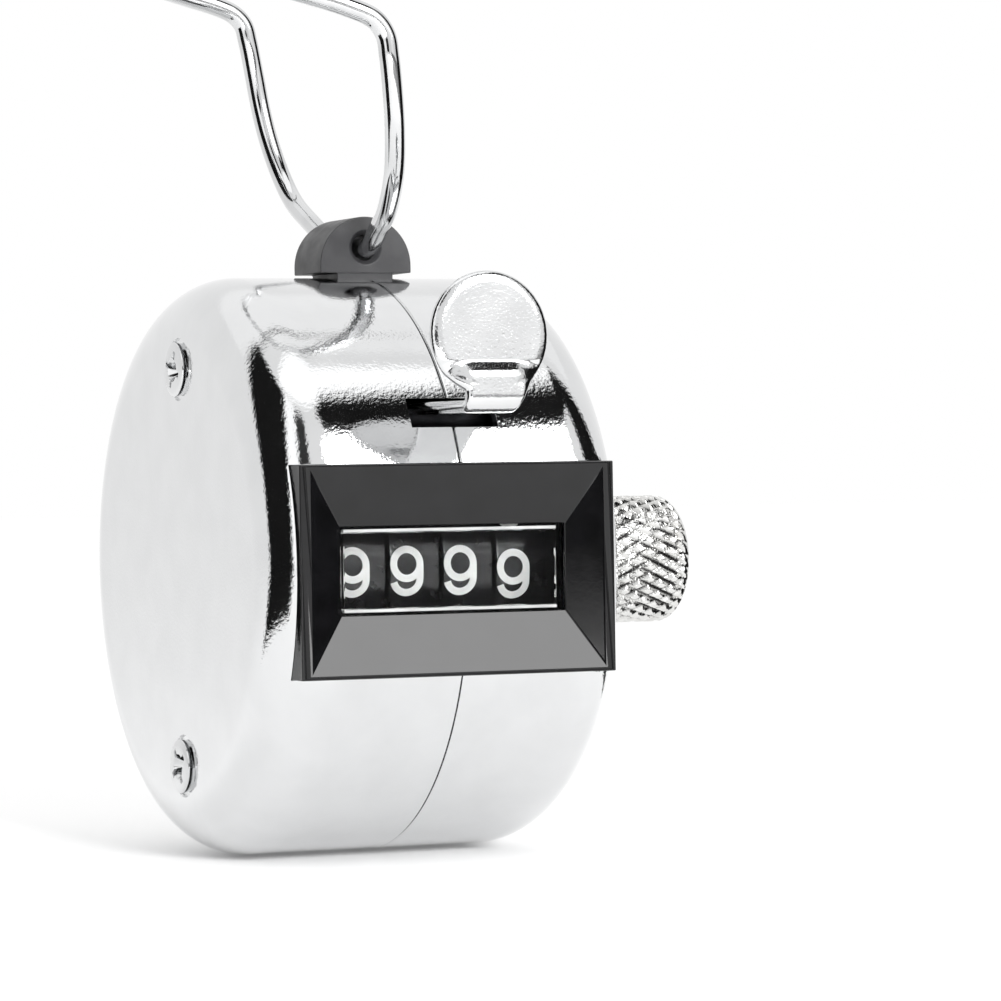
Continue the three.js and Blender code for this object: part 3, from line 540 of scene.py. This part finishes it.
# The wire's bends, from one end in the lug round to the other, from the middle of the hole
RING_BENDS = [
    (0, -0.5, 0), (0, -3.2, 0), (-0.1, -4.8, 0.5), (-0.25, -6.4, 1.35), (-0.42, -8.4, 2.4),
    (-0.93, -11.4, 5.3), (-1.5, -13.1, 8.6), (-2, -14, 11.5), (-2.45, -14.5, 14.2),
    (-2.75, -14.5, 15.9), (-3.7, -14.5, 17.1), (-5.9, -14.4, 18), (-8.4, -14.3, 18.7),
    (-12.4, -13.4, 19.8), (-16.6, -10.8, 21), (-19.4, -6, 22), (-20.4, 0, 22.6),
    (-19.4, 6, 22.9), (-16.6, 10.8, 22.9), (-12.4, 13.4, 22.4), (-8.4, 14.3, 21.5),
    (-6.4, 14.4, 21), (-4.6, 14.4, 20.3), (-3.7, 14.4, 19.4), (-3.3, 14.4, 18),
    (-2.7, 14.6, 15.3), (-2.2, 14.6, 12.6), (-1.76, 14.1, 10), (-1.2, 12.8, 6.9),
    (-0.8, 10.9, 4.5), (-0.4, 7.4, 2.3), (-0.15, 5.2, 1.1), (0, 3.2, 0.1), (0, 0.5, 0),
]
WIRE_SIDES = 28
POINTS_PER_BEND = 9


def blend(a, b, start, end, u):
    return a * ((end - u) / (end - start)) + b * ((u - start) / (end - start))


def catmull(bends, per_span):
    """A centripetal Catmull-Rom curve through the points."""
    pts = [Vector(p) for p in bends]
    pts = [2 * pts[0] - pts[1]] + pts + [2 * pts[-1] - pts[-2]]
    line = []
    for k in range(1, len(pts) - 2):
        near = pts[k - 1:k + 3]
        t = [0.0]
        for a, b in zip(near, near[1:]):
            t.append(t[-1] + math.sqrt((b - a).length))
        for i in range(per_span):
            u = t[1] + (t[2] - t[1]) * i / per_span
            first = [blend(near[j], near[j + 1], t[j], t[j + 1], u) for j in range(3)]
            second = [blend(first[j], first[j + 1], t[j], t[j + 2], u) for j in range(2)]
            line.append(blend(second[0], second[1], t[1], t[2], u))
    line.append(pts[-2])
    return line


def wire(name, line, radius, sides):
    """A round wire with softened ends, its frame carried along the line without twisting."""
    tangents = [(line[min(i + 1, len(line) - 1)] - line[max(i - 1, 0)]).normalized()
                for i in range(len(line))]
    normal = tangents[0].orthogonal().normalized()
    rings = []
    for point, tangent in zip(line, tangents):
        normal = (normal - tangent * normal.dot(tangent)).normalized()
        rings.append((point, tangent, normal.copy(), radius))
    cap = radius * 0.35
    first, last = rings[0], rings[-1]
    rings.insert(0, (first[0] - first[1] * cap, first[1], first[2], radius - cap))
    rings.append((last[0] + last[1] * cap, last[1], last[2], radius - cap))
    points, faces = [], []
    for point, tangent, normal, r in rings:
        side = tangent.cross(normal)
        for j in range(sides):
            a = 2 * math.pi * j / sides
            points.append(tuple(point + (normal * math.cos(a) + side * math.sin(a)) * r))
    for k in range(len(rings) - 1):
        for j in range(sides):
            n = (j + 1) % sides
            faces.append([k * sides + j, k * sides + n, (k + 1) * sides + n, (k + 1) * sides + j])
    faces.append(list(range(sides)))
    faces.append(list(range((len(rings) - 1) * sides, len(rings) * sides)))
    return add_mesh(name, points, faces)


ring_line = [Vector((p.x + SEAM_X, p.y, p.z + HOLE_Z)) for p in catmull(RING_BENDS, POINTS_PER_BEND)]
ring = wire("finger_ring_wire", ring_line, WIRE_R, WIRE_SIDES)
finish_piece(smooth(ring), CHROME_WIRE, "chrome", "ring", "finger_ring")


# ---- thumb lever -----------------------------------------------------------------------------

SHEET_T = 0.96
SHEET_STEPS, SHEET_ACROSS, BEND_STEPS = 110, 60, 8
BEND_R = 0.8
# (y, half width) along the arm, from the hub to the bend
ARM = ((-10.5, 2.5), (-14.0, 2.5), (-18.0, 2.5), (-21.0, 2.45), (-22.5, 2.3), (-24.0, 2.22), (-26.0, 2.2))
NECK_LEFT, NECK_RIGHT, NECK_FLARE, NECK_START = 2.3, 1.96, 0.61, LEVER_LOW + 0.3
HEAD_Z = 14.6
STEP_LOW, STEP_TURN, STEP_HIGH, STEP_SLOPE = 14.5, 15.2, 15.6, 0.6
RIB_HALF, RIB_FADE = 1.6, 2.2
RIB_LOW, RIB_RISE = 12.6, 2.4
ROUNDING = 0.95
PAD_LEAN = math.tan(math.radians(2.5))


def ramp(u):
    """A smooth step from 0 to 1."""
    u = min(max(u, 0.0), 1.0)
    return u * u * (3 - 2 * u)


def step_back(x, z):
    """How far the pad lies behind the neck, which runs up into it as a short rib."""
    steep = min(max(z - STEP_LOW, 0.0), STEP_TURN - STEP_LOW)
    ease = min(max(z - STEP_TURN, 0.0), STEP_HIGH - STEP_TURN)
    full = STEP_SLOPE * (STEP_TURN + STEP_HIGH - 2 * STEP_LOW) / 2
    behind = STEP_SLOPE * (steep + ease - ease ** 2 / (2 * (STEP_HIGH - STEP_TURN)))
    beside = ramp((abs(x) - RIB_HALF) / RIB_FADE) * ramp((z - RIB_LOW) / RIB_RISE)
    return behind + (full - behind) * beside


def neck_right(z):
    return NECK_RIGHT + NECK_FLARE * max(0.0, z - NECK_START)


def upright_sides(z):
    """The left and right edges of the upright part: a neck that flares into the round head."""
    head = math.sqrt(max(0.0, PADDLE_R ** 2 - (z - PADDLE_Z) ** 2))
    if z >= HEAD_Z:
        return -max(head, 0.02), max(head, 0.02)
    return -max(head, NECK_LEFT), max(head, neck_right(z))


def sheet_rows():
    """The sheet's middle line as (y, z, left, right), and where its upright part starts."""
    z_mid = LEVER_LOW + 0.5
    y_mid = PADDLE_Y + 0.5
    rows = [(y, z_mid, -half, half) for y, half in ARM]
    for i in range(BEND_STEPS + 1):
        a = math.pi / 2 * i / BEND_STEPS
        z = z_mid + BEND_R * (1 - math.cos(a))
        rows.append((y_mid + BEND_R * (1 - math.sin(a)), z, -NECK_LEFT, neck_right(z)))
    bend_top = z_mid + BEND_R
    first_upright = len(rows)
    for i in range(1, SHEET_STEPS + 1):
        z = bend_top + (PADDLE_Z + PADDLE_R - bend_top) * math.sin(math.pi / 2 * i / SHEET_STEPS)
        rows.append((y_mid + (z - bend_top) * PAD_LEAN + step_back(0.0, z), z, *upright_sides(z)))
    return rows, first_upright, bend_top


def lever_sheet():
    """The arm, its bend, the neck and the round pad: one bent sheet with rolled edges."""
    half_t = SHEET_T / 2
    rows, first_upright, bend_top = sheet_rows()
    points, faces = [], []
    for layer in (-1, 1):
        for k, (y, z, low, high) in enumerate(rows):
            before, after = rows[max(k - 1, 0)], rows[min(k + 1, len(rows) - 1)]
            along = Vector((after[0] - before[0], after[1] - before[1])).normalized()
            for j in range(SHEET_ACROSS + 1):
                across = math.sin(math.pi / 2 * (2 * j / SHEET_ACROSS - 1))
                x = (low + high) / 2 + (high - low) / 2 * across
                edge = min(x - low, high - x)
                rounding, shift = half_t, 0.0
                if k >= first_upright:
                    shift = step_back(x, z) - step_back(0.0, z)
                    round_head = PADDLE_R - math.hypot(x, z - PADDLE_Z)
                    edge = max(round_head, min(edge, HEAD_Z - z)) if z < HEAD_Z else round_head
                    rounding += (ROUNDING - half_t) * ramp(z - bend_top) * (layer < 0)
                inset = max(0.0, 1 - max(edge, 0.0) / rounding)
                thick = half_t * max(0.04, math.sqrt(max(0.0, 1 - inset ** 2)))
                points.append((LEVER_X + x, y + layer * along.y * thick + shift,
                               z - layer * along.x * thick))
    w = SHEET_ACROSS + 1
    offset = len(rows) * w
    for k in range(len(rows) - 1):
        for j in range(SHEET_ACROSS):
            a, b, c, d = k * w + j, k * w + j + 1, (k + 1) * w + j + 1, (k + 1) * w + j
            faces.append([a, b, c, d])
            faces.append([offset + d, offset + c, offset + b, offset + a])
        for j in (0, SHEET_ACROSS):
            a, b = k * w + j, (k + 1) * w + j
            faces.append([a, b, offset + b, offset + a])
    for k in (0, len(rows) - 1):
        for j in range(SHEET_ACROSS):
            a, b = k * w + j, k * w + j + 1
            faces.append([a, b, offset + b, offset + a])
    return smooth(add_mesh("thumb_lever_sheet", points, faces), 50)


finish_piece(lever_sheet(), CHROME_PEEL, "chrome", "lever")


# ---- reset knob ------------------------------------------------------------------------------

KNOB_SIDES, KNURL_ROWS, KNOB_ROUND_STEPS = 288, 92, 16
KNOB_ROUND, KNURL_END_STEPS = 1.3, 11
KNURL_LINES, KNURL_DEPTH, KNURL_HELIX, KNURL_FLAT = 30, 0.42, 0.52, 0.4
KNURL_FADE = 0.35
# Each way the knurl runs: its force at the inner end, and how much that grows outwards
KNURL_WAYS = ((-1, 0.6, 0.3), (1, 0.95, -0.35))
KNURL_TURN, KNURL_TURN_LENGTH = 2.5, 2.5
END_HOLLOW = 0.12


def knurl_groove(a, x, start):
    """How deep the knurl is cut at an angle and a place along the knob, from 0 to 1."""
    turn = x / KNOB_R * KNURL_HELIX
    outward = ramp((x - start - KNURL_TURN) / KNURL_TURN_LENGTH)
    cuts = []
    for way, force, grows in KNURL_WAYS:
        phase = (a + way * turn) * KNURL_LINES / (2 * math.pi)
        height = abs((phase % 1.0) - 0.5) * 2
        cuts.append((height - KNURL_FLAT) / (1 - KNURL_FLAT) * (force + grows * outward))
    return max(0.0, max(cuts))


def knob_piece():
    """Turned knob with a crossed knurl between its collar and its rounded end."""
    start, round_start = KNOB_START + COLLAR_T, KNOB_END - KNOB_ROUND
    profile = [(KNOB_R, start + (round_start - start) * k / KNURL_ROWS, 1.0)
               for k in range(KNURL_ROWS + 1)]
    for i in range(1, KNOB_ROUND_STEPS + 1):
        a = math.pi / 2 * i / KNOB_ROUND_STEPS
        profile.append((KNOB_R - KNOB_ROUND + KNOB_ROUND * math.cos(a),
                        round_start + KNOB_ROUND * math.sin(a), max(0.0, 1 - i / KNURL_END_STEPS)))
    turns = [2 * math.pi * i / KNOB_SIDES for i in range(KNOB_SIDES)]
    rings = []
    for r, x, strength in profile:
        fade = min(1.0, (x - start) / KNURL_FADE)
        depth = KNURL_DEPTH * strength * fade
        rings.append((x, [r - depth * knurl_groove(a, x, start) for a in turns]))
    for r, x in ((3.55, KNOB_END - 0.05), (3.3, KNOB_END - END_HOLLOW)):
        rings.append((x, [r] * KNOB_SIDES))
    for r, x in ((KNOB_R - 0.02, start), (COLLAR_R, start - 0.1), (COLLAR_R, KNOB_START + 0.1),
                 (COLLAR_R - 0.1, KNOB_START)):
        rings.insert(0, (x, [r] * KNOB_SIDES))
    points, faces = [], []
    for x, radii in rings:
        for a, r in zip(turns, radii):
            points.append((x, WHEEL_Y + r * math.cos(a), r * math.sin(a)))
    last = (len(rings) - 1) * KNOB_SIDES
    for i in range(KNOB_SIDES):
        j = (i + 1) % KNOB_SIDES
        for k in range(len(rings) - 1):
            a, b = k * KNOB_SIDES, (k + 1) * KNOB_SIDES
            faces.append([a + i, a + j, b + j, b + i])
        faces.append([i, j, len(points)])
        faces.append([last + i, last + j, len(points) + 1])
    points += [(KNOB_START, WHEEL_Y, 0.0), (KNOB_END - END_HOLLOW, WHEEL_Y, 0.0)]
    obj = add_mesh("reset_knob_knurled", points, faces)
    # Painted shade mask: how deep each point lies in a knurl groove, so the material can darken the
    # grooves.
    groove_shade_marks = []
    for v in obj.data.vertices:
        x = v.co.x / MM + SEAM_X
        r = math.hypot(v.co.y / MM - WHEEL_Y, v.co.z / MM + HOLE_Z)
        cut = (KNOB_R - r) / KNURL_DEPTH if start < x < round_start else 0.0
        groove_shade_marks.append(ramp((cut - 0.35) / 0.4))
    obj.data.attributes.new("groove_shade", "FLOAT", "POINT").data.foreach_set("value", groove_shade_marks)
    return smooth(obj, 30)


finish_piece(knob_piece(), CHROME_KNURL, "chrome", "knob", "reset_knob")


# ---- number wheels ---------------------------------------------------------------------------

STROKE = 0.28
DIGIT_HALF = 1.95
DIGIT_BANDS = 9
PAINT_T, PAINT_SUNK = 0.05, 0.02

OVAL = ellipse(0, 0, 1.095, 1.67)[:-1]
EYE = ellipse(0, 0.55, 1.095, 1.12)[:-1]
TAIL = [(1.095, 0.55)] + ellipse(0, -0.6, 1.095, 1.07, 0, -165)

# Each digit is a list of (points along the stroke's middle, whether it closes on itself)
DIGIT_STROKES = {
    0: [(OVAL, True)],
    1: [([(0.25, -1.95), (0.25, 1.95)], False), ([(-0.75, 0.95), (0.2, 1.72)], False)],
    2: [(ellipse(0, 0.66, 1.03, 1.01, 165, -38) + [(-1.0, -1.62)], False),
        ([(-1.3, -1.67), (1.25, -1.67)], False)],
    3: [(ellipse(0, 0.84, 0.95, 0.83, 150, -90), False),
        (ellipse(0, -0.74, 1.095, 0.93, 90, -155), False)],
    4: [([(0.6, 1.75), (-1.2, -0.62)], False), ([(-1.4, -0.76), (1.4, -0.76)], False),
        ([(0.6, 1.95), (0.6, -1.95)], False)],
    5: [([(-1.05, 1.67), (1.1, 1.67)], False), ([(-0.8, 1.8), (-0.95, 0.0)], False),
        (ellipse(0, -0.55, 1.095, 1.12, 145, -152), False)],
    6: [([(-u, -v) for u, v in EYE], True), ([(-u, -v) for u, v in TAIL], False)],
    7: [([(-1.25, 1.67), (1.35, 1.67)], False), ([(1.15, 1.7), (-0.35, -1.95)], False)],
    8: [(ellipse(0, 0.86, 0.92, 0.81)[:-1], True), (ellipse(0, -0.76, 1.095, 0.91)[:-1], True)],
    9: [(EYE, True), (TAIL, False)],
}


def stroke_solid(path, closes):
    """A stroke of even width along a path, as a closed slab."""
    n = len(path)
    points = []
    for i, (u, v) in enumerate(path):
        before = path[i - 1] if closes or i else path[0]
        after = path[(i + 1) % n] if closes or i < n - 1 else path[-1]
        way = Vector((after[0] - before[0], after[1] - before[1])).normalized() * STROKE
        for side, up in ((1, 1), (-1, 1), (-1, -1), (1, -1)):
            points.append((u - side * way.y, v + side * way.x, up))
    faces = []
    for k in range(n if closes else n - 1):
        a, b = 4 * k, 4 * ((k + 1) % n)
        faces += [[a + i, a + (i + 1) % 4, b + (i + 1) % 4, b + i] for i in range(4)]
    if not closes:
        faces += [[0, 1, 2, 3], [4 * n - 4 + i for i in range(4)]]
    return add_mesh("stroke", points, faces)


def digit_mesh(strokes):
    """The digit as a flat mesh, in millimetres about its middle: x across, y up."""
    solids = [stroke_solid(path, closes) for path, closes in strokes]
    obj = solids[0]
    for other in solids[1:]:
        combine(obj, other, "UNION")
    bm = bmesh.new()
    bm.from_mesh(obj.data)
    bpy.data.objects.remove(obj)
    bmesh.ops.translate(bm, verts=bm.verts, vec=-at(0, 0, 0))
    bmesh.ops.scale(bm, verts=bm.verts, vec=(1 / MM, 1 / MM, 1 / MM))
    unseen = [f for f in bm.faces if f.normal.z < 0.9]
    bmesh.ops.delete(bm, geom=unseen, context="FACES")
    for k in range(-DIGIT_BANDS, DIGIT_BANDS + 1):
        geom = bm.verts[:] + bm.edges[:] + bm.faces[:]
        height = k * DIGIT_HALF / DIGIT_BANDS
        bmesh.ops.bisect_plane(bm, geom=geom, plane_co=(0, height, 0), plane_no=(0, 1, 0), dist=1e-5)
    bmesh.ops.triangulate(bm, faces=bm.faces[:])
    bm.verts.index_update()
    points = [(v.co.x, v.co.y) for v in bm.verts]
    faces = [[v.index for v in f.verts] for f in bm.faces]
    edges = [[v.index for v in e.verts] for e in bm.edges if e.is_boundary]
    bm.free()
    return points, faces, edges


DIGITS = {n: digit_mesh(strokes) for n, strokes in DIGIT_STROKES.items()}


def digit_ring(name, x, shown, lift_deg):
    """Ten digits printed round a wheel, with the shown one in front."""
    points, faces = [], []
    for n in range(10):
        angle = math.radians((n - shown) * 36 + lift_deg)
        flat, tris, rim = DIGITS[n]
        base = len(points)
        for radius in (WHEEL_R + PAINT_T, WHEEL_R - PAINT_SUNK):
            for u, v in flat:
                a = angle + v / WHEEL_R
                points.append((x + u, WHEEL_Y - radius * math.cos(a), radius * math.sin(a)))
        under = len(flat)
        faces += [[base + i for i in f] for f in tris]
        faces += [[base + under + i for i in reversed(f)] for f in tris]
        faces += [[base + a, base + b, base + under + b, base + under + a] for a, b in rim]
    return smooth(add_mesh(name, points, faces), 30)


def gear_ring(x0, x1):
    """The gear that a wheel turns its pinion with."""
    outline = []
    for i in range(GEAR_TEETH):
        centre = 2 * math.pi * i / GEAR_TEETH
        for r, w in ((GEAR_ROOT, -0.98), (GEAR_TIP, -0.5), (GEAR_TIP, 0.5), (GEAR_ROOT, 0.98)):
            a = centre + w / 2 / r
            outline.append((WHEEL_Y + r * math.cos(a), r * math.sin(a)))
    return prism("gear", outline, x0, x1, "x")


def ratchet_ring(x0, x1):
    """The toothed boss that the drive pawl pushes round."""
    outline = []
    for i in range(RATCHET_TEETH):
        a = 2 * math.pi * i / RATCHET_TEETH
        b = a + 2 * math.pi / RATCHET_TEETH * 0.12
        outline.append((WHEEL_Y + RATCHET_TIP * math.cos(a), RATCHET_TIP * math.sin(a)))
        outline.append((WHEEL_Y + RATCHET_ROOT * math.cos(b), RATCHET_ROOT * math.sin(b)))
    return prism("ratchet", outline, x0, x1, "x")


def wheel_piece(name, x, gear, lock, ratchet):
    """A number wheel: its band, and the rings that its place in the row calls for."""
    half, sunk = WHEEL_W / 2, 0.05
    corner, part_corner = WHEEL_CORNER, 0.06
    band = [(WHEEL_BORE, -half), (WHEEL_R - corner, -half), (WHEEL_R - part_corner, -half + part_corner),
            (WHEEL_R, -half + corner), (WHEEL_R, half - corner),
            (WHEEL_R - part_corner, half - part_corner), (WHEEL_R - corner, half), (WHEEL_BORE, half)]
    obj = lathe_x(name, [(r, x + dx) for r, dx in band], 160, WHEEL_Y, 0)
    parts = []
    if gear:
        parts.append(gear_ring(x + half - sunk, x + half + GEAR_T))
    if lock:
        parts.append(rod("lock", LOCK_R, x - half - LOCK_T, x - half + sunk, 96, WHEEL_Y, 0))
    if ratchet:
        parts.append(ratchet_ring(x + half - sunk, x + half + RATCHET_T))
    for part in parts:
        combine(obj, part, "UNION")
    combine(obj, rod("bore", WHEEL_BORE, x - 5, x + 5, 48, WHEEL_Y, 0), "DIFFERENCE")
    bevel(obj, 0.05, 2, 50)
    return smooth(obj, 35)


# Place, steps from the row's middle, gear, lock disc, ratchet, and degrees the digit sits low
WHEELS = (
    ("thousands", -1.5, True, False, False, -2.2),
    ("hundreds", -0.5, True, True, False, -2.1),
    ("tens", 0.5, True, True, False, -2.3),
    ("units", 1.5, False, True, True, -4.8),
)
SHOWN = 9
for place, step, gear, lock, ratchet, lift in WHEELS:
    body, x = "wheel_" + place, ROW_X + step * PITCH
    wheel = wheel_piece(body + "_band", x, gear, lock, ratchet)
    finish_piece(wheel, WHEEL, "wheel_black", body, "number_" + body)
    finish_piece(digit_ring(body + "_digits", x, SHOWN, lift), PAINT, "wheel_black", body)


# ---- parts inside that keep their CAD shape --------------------------------------------------

INSIDE = {
    STEEL: ("movement_frame", "detent_screw", "reset_shaft", "transfer_shaft", "lever_shaft",
            "pawl_pin", "drive_pawl"),
    SPRING: ("detent_spring", "shaft_clip", "lever_clip_left", "lever_clip_right",
             "lever_return_spring", "pawl_spring"),
    BRASS: ("spacer_left", "spacer_right"),
    NYLON: ("knob_washer", "transfer_pinion_1000", "transfer_pinion_100", "transfer_pinion_10"),
    WHEEL: ("wheel_guard",),
}
for material, names in INSIDE.items():
    for name in names:
        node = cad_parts[name]
        if node.material_slots:
            for holder in node.material_slots:
                holder.material = material
        else:
            node.data.materials.append(material)


def lever_hub():
    """The lever inside the casing: a hub on the shaft, and the arm that carries the pawl."""
    left, right, ease = HUB_LEFT, HUB_RIGHT, 0.15
    hub = lathe_x("thumb_lever_hub", [
        (HUB_BORE, left), (HUB_R - ease, left), (HUB_R, left + ease), (HUB_R, right - ease),
        (HUB_R - ease, right), (HUB_BORE, right)], 64, LEVER_Y, LEVER_Z)
    outline = [(LEVER_Y + 1.0, LEVER_Z - PAWL_ARM_HALF)]
    outline += ellipse(PAWL_PIN_Y, LEVER_Z, PAWL_ARM_HALF, PAWL_ARM_HALF, -90, 90, 16)
    outline += [(LEVER_Y + 1.0, LEVER_Z + PAWL_ARM_HALF)]
    arm = prism("arm", outline, PAWL_ARM_LEFT, right, "x")
    combine(arm, rod("pin", PAWL_PIN_R, 9, 12, 32, PAWL_PIN_Y, LEVER_Z), "DIFFERENCE")
    combine(hub, arm, "UNION")
    combine(hub, rod("shaft", HUB_BORE, -5, 13, 64, LEVER_Y, LEVER_Z), "DIFFERENCE")
    bevel(hub, 0.06, 2, 50)
    return smooth(hub, 35)


finish_piece(lever_hub(), BLACKENED, "chrome", "lever", "thumb_lever")


# ---- studio ----------------------------------------------------------------------------------

FLOOR_HALF, FLOOR_SHADE, FLOOR_GLOW, FLOOR_GAP = 3.0, 0.93, 0.08, 0.0003
LAMP_SIZE, LAMP_POWER, LAMP_PLACE = 0.12, 3.0, Vector((0.02, -0.5, 0.1))
CARD_DISTANCE, CARD_ACROSS, CARD_HIGH = 0.9, 12, 8
FLOOR_CARD_LIFT = 0.0005
OVERHEAD = ((-0.45, 0.171), (0.54, 0.171), (0.54, 0.198), (-0.45, 0.198))
OVERHEAD_UP = 0.819

centre = at(0, 0, 0)
floor_z = at(0, 0, -DRUM_R).z - FLOOR_GAP


def stage_mesh(name, points, faces, shade, glow, seen=False):
    """A floor or a studio card; a card shows only in reflections."""
    mesh = bpy.data.meshes.new(name)
    mesh.from_pydata(points, [], faces)
    obj = bpy.data.objects.new(name, mesh)
    bpy.context.scene.collection.objects.link(obj)
    mat, _, shader = new_material(name, (shade, shade, shade), 0.0, 0.8)
    shader.inputs["Specular IOR Level"].default_value = 0.0
    shader.inputs["Emission Color"].default_value = (1, 1, 1, 1)
    shader.inputs["Emission Strength"].default_value = glow
    obj.data.materials.append(mat)
    if not seen:
        obj.visible_camera = False
        obj.visible_diffuse = False
        obj.visible_shadow = False


def card(name, low_azimuths, high_azimuths, elevations, shade, glow=0.0):
    """A curved card round the drum, from its low edge to its high edge.

    Azimuths run from the window's side towards the knob, and all angles are in degrees.
    """
    points, faces = [], []
    for k in range(CARD_HIGH + 1):
        t = k / CARD_HIGH
        el = math.radians(elevations[0] + (elevations[1] - elevations[0]) * t)
        start, end = (low_azimuths[i] + (high_azimuths[i] - low_azimuths[i]) * t for i in (0, 1))
        for i in range(CARD_ACROSS + 1):
            az = math.radians(start + (end - start) * i / CARD_ACROSS)
            points.append(centre + CARD_DISTANCE * Vector((
                math.sin(az) * math.cos(el), -math.cos(az) * math.cos(el), math.sin(el))))
    for k in range(CARD_HIGH):
        for i in range(CARD_ACROSS):
            a = k * (CARD_ACROSS + 1) + i
            faces.append([a, a + 1, a + CARD_ACROSS + 2, a + CARD_ACROSS + 1])
    stage_mesh(name, points, faces, shade, glow)


def floor_card(name, azimuths, near, far, shade):
    """A card that lies on the floor between two distances from the drum."""
    points = []
    for distance in (near, far):
        for i in range(CARD_ACROSS + 1):
            az = math.radians(azimuths[0] + (azimuths[1] - azimuths[0]) * i / CARD_ACROSS)
            points.append((centre.x + distance * math.sin(az), centre.y - distance * math.cos(az),
                           floor_z + FLOOR_CARD_LIFT))
    faces = [[i, i + 1, i + CARD_ACROSS + 2, i + CARD_ACROSS + 1] for i in range(CARD_ACROSS)]
    stage_mesh(name, points, faces, shade, 0.0)


corners = [(x * FLOOR_HALF, y * FLOOR_HALF, floor_z) for x, y in ((-1, -1), (1, -1), (1, 1), (-1, 1))]
stage_mesh("floor", corners, [[0, 1, 2, 3]], FLOOR_SHADE, FLOOR_GLOW, True)

world = bpy.data.worlds.new("studio")
bpy.context.scene.world = world
world.use_nodes = True
world.node_tree.nodes["Background"].inputs["Color"].default_value = (1, 1, 1, 1)
world.node_tree.nodes["Background"].inputs["Strength"].default_value = 1.0
world.cycles.sampling_method = "NONE"

lamp_data = bpy.data.lights.new("front_lamp", "AREA")
lamp_data.size = LAMP_SIZE
lamp_data.energy = LAMP_POWER
lamp = bpy.data.objects.new("front_lamp", lamp_data)
bpy.context.scene.collection.objects.link(lamp)
lamp.location = centre + LAMP_PLACE
lamp.rotation_euler = (centre - lamp.location).to_track_quat("-Z", "Y").to_euler()
lamp.visible_glossy = False

card("flag_side", (-106, -62), (-122, -64), (-2, 61), 0.01)
floor_card("flag_side_floor", (-108, -62), 0.1, 0.9, 0.01)
card("flag_high", (30, 76), (14, 76), (49, 61), 0.01)
card("flag_high_left", (-40, -22), (-48, -22), (32, 58), 0.04)
card("flag_knob_side", (60, 106), (66, 80), (-3, 62), 0.01)
floor_card("flag_knob_side_floor", (58, 108), 0.06, 0.9, 0.01)
card("flag_front", (4, 60), (4, 60), (-3, 1.2), 0.25)
floor_card("flag_front_floor", (4, 58), 0.2, 0.9, 0.25)
card("flag_middle", (-38, -14), (-38, -14), (-3, 12), 0.01)
card("panel_top", (-76, 76), (-76, 76), (63, 89), 0.0, 1.5)
card("panel_left_front", (-60, -42), (-61, -42), (-3, 61), 0.0, 1.4)
card("panel_back", (96, 236), (96, 236), (40, 89), 0.0, 1.12)
card("softbox", (10, 42), (10, 42), (15, 47), 0.0, 8.0)
card("softbox_low", (12, 36), (12, 36), (1.4, 14.8), 0.0, 1.2)
strip = [centre + Vector((x, y, OVERHEAD_UP)) for x, y in OVERHEAD]
stage_mesh("flag_overhead", strip, [[0, 1, 2, 3]], 0.01, 0.0)


# ---- camera ----------------------------------------------------------------------------------

AZIMUTH, ELEVATION, ROLL = -21.76, 1.13, -0.92
DISTANCE = 0.3638
SENSOR_MM, LENS_MM = 36.0, 161.8238
# The camera looks at a point this far to the right of the drum's centre and above it, in metres
AIM_RIGHT, AIM_UP = 0.0121641, 0.005088

az, el, roll = (math.radians(v) for v in (AZIMUTH, ELEVATION, ROLL))
back = Vector((math.sin(az) * math.cos(el), -math.cos(az) * math.cos(el), math.sin(el)))
side = Vector((0, 0, 1)).cross(back).normalized()
upright = back.cross(side)
right = side * math.cos(roll) + upright * math.sin(roll)
up = upright * math.cos(roll) - side * math.sin(roll)
aim = (-back * DISTANCE + right * AIM_RIGHT + up * AIM_UP).normalized()
right = aim.cross(up).normalized()
up = right.cross(aim)
camera_data = bpy.data.cameras.new("camera")
camera_data.sensor_width = SENSOR_MM
camera_data.lens = LENS_MM
camera_data.clip_start = 0.01
camera = bpy.data.objects.new("camera", camera_data)
bpy.context.scene.collection.objects.link(camera)
pose = Matrix((right, up, -aim)).transposed().to_4x4()
pose.translation = centre + back * DISTANCE
camera.matrix_world = pose
bpy.context.scene.camera = camera
bpy.context.scene.view_settings.view_transform = "Standard"
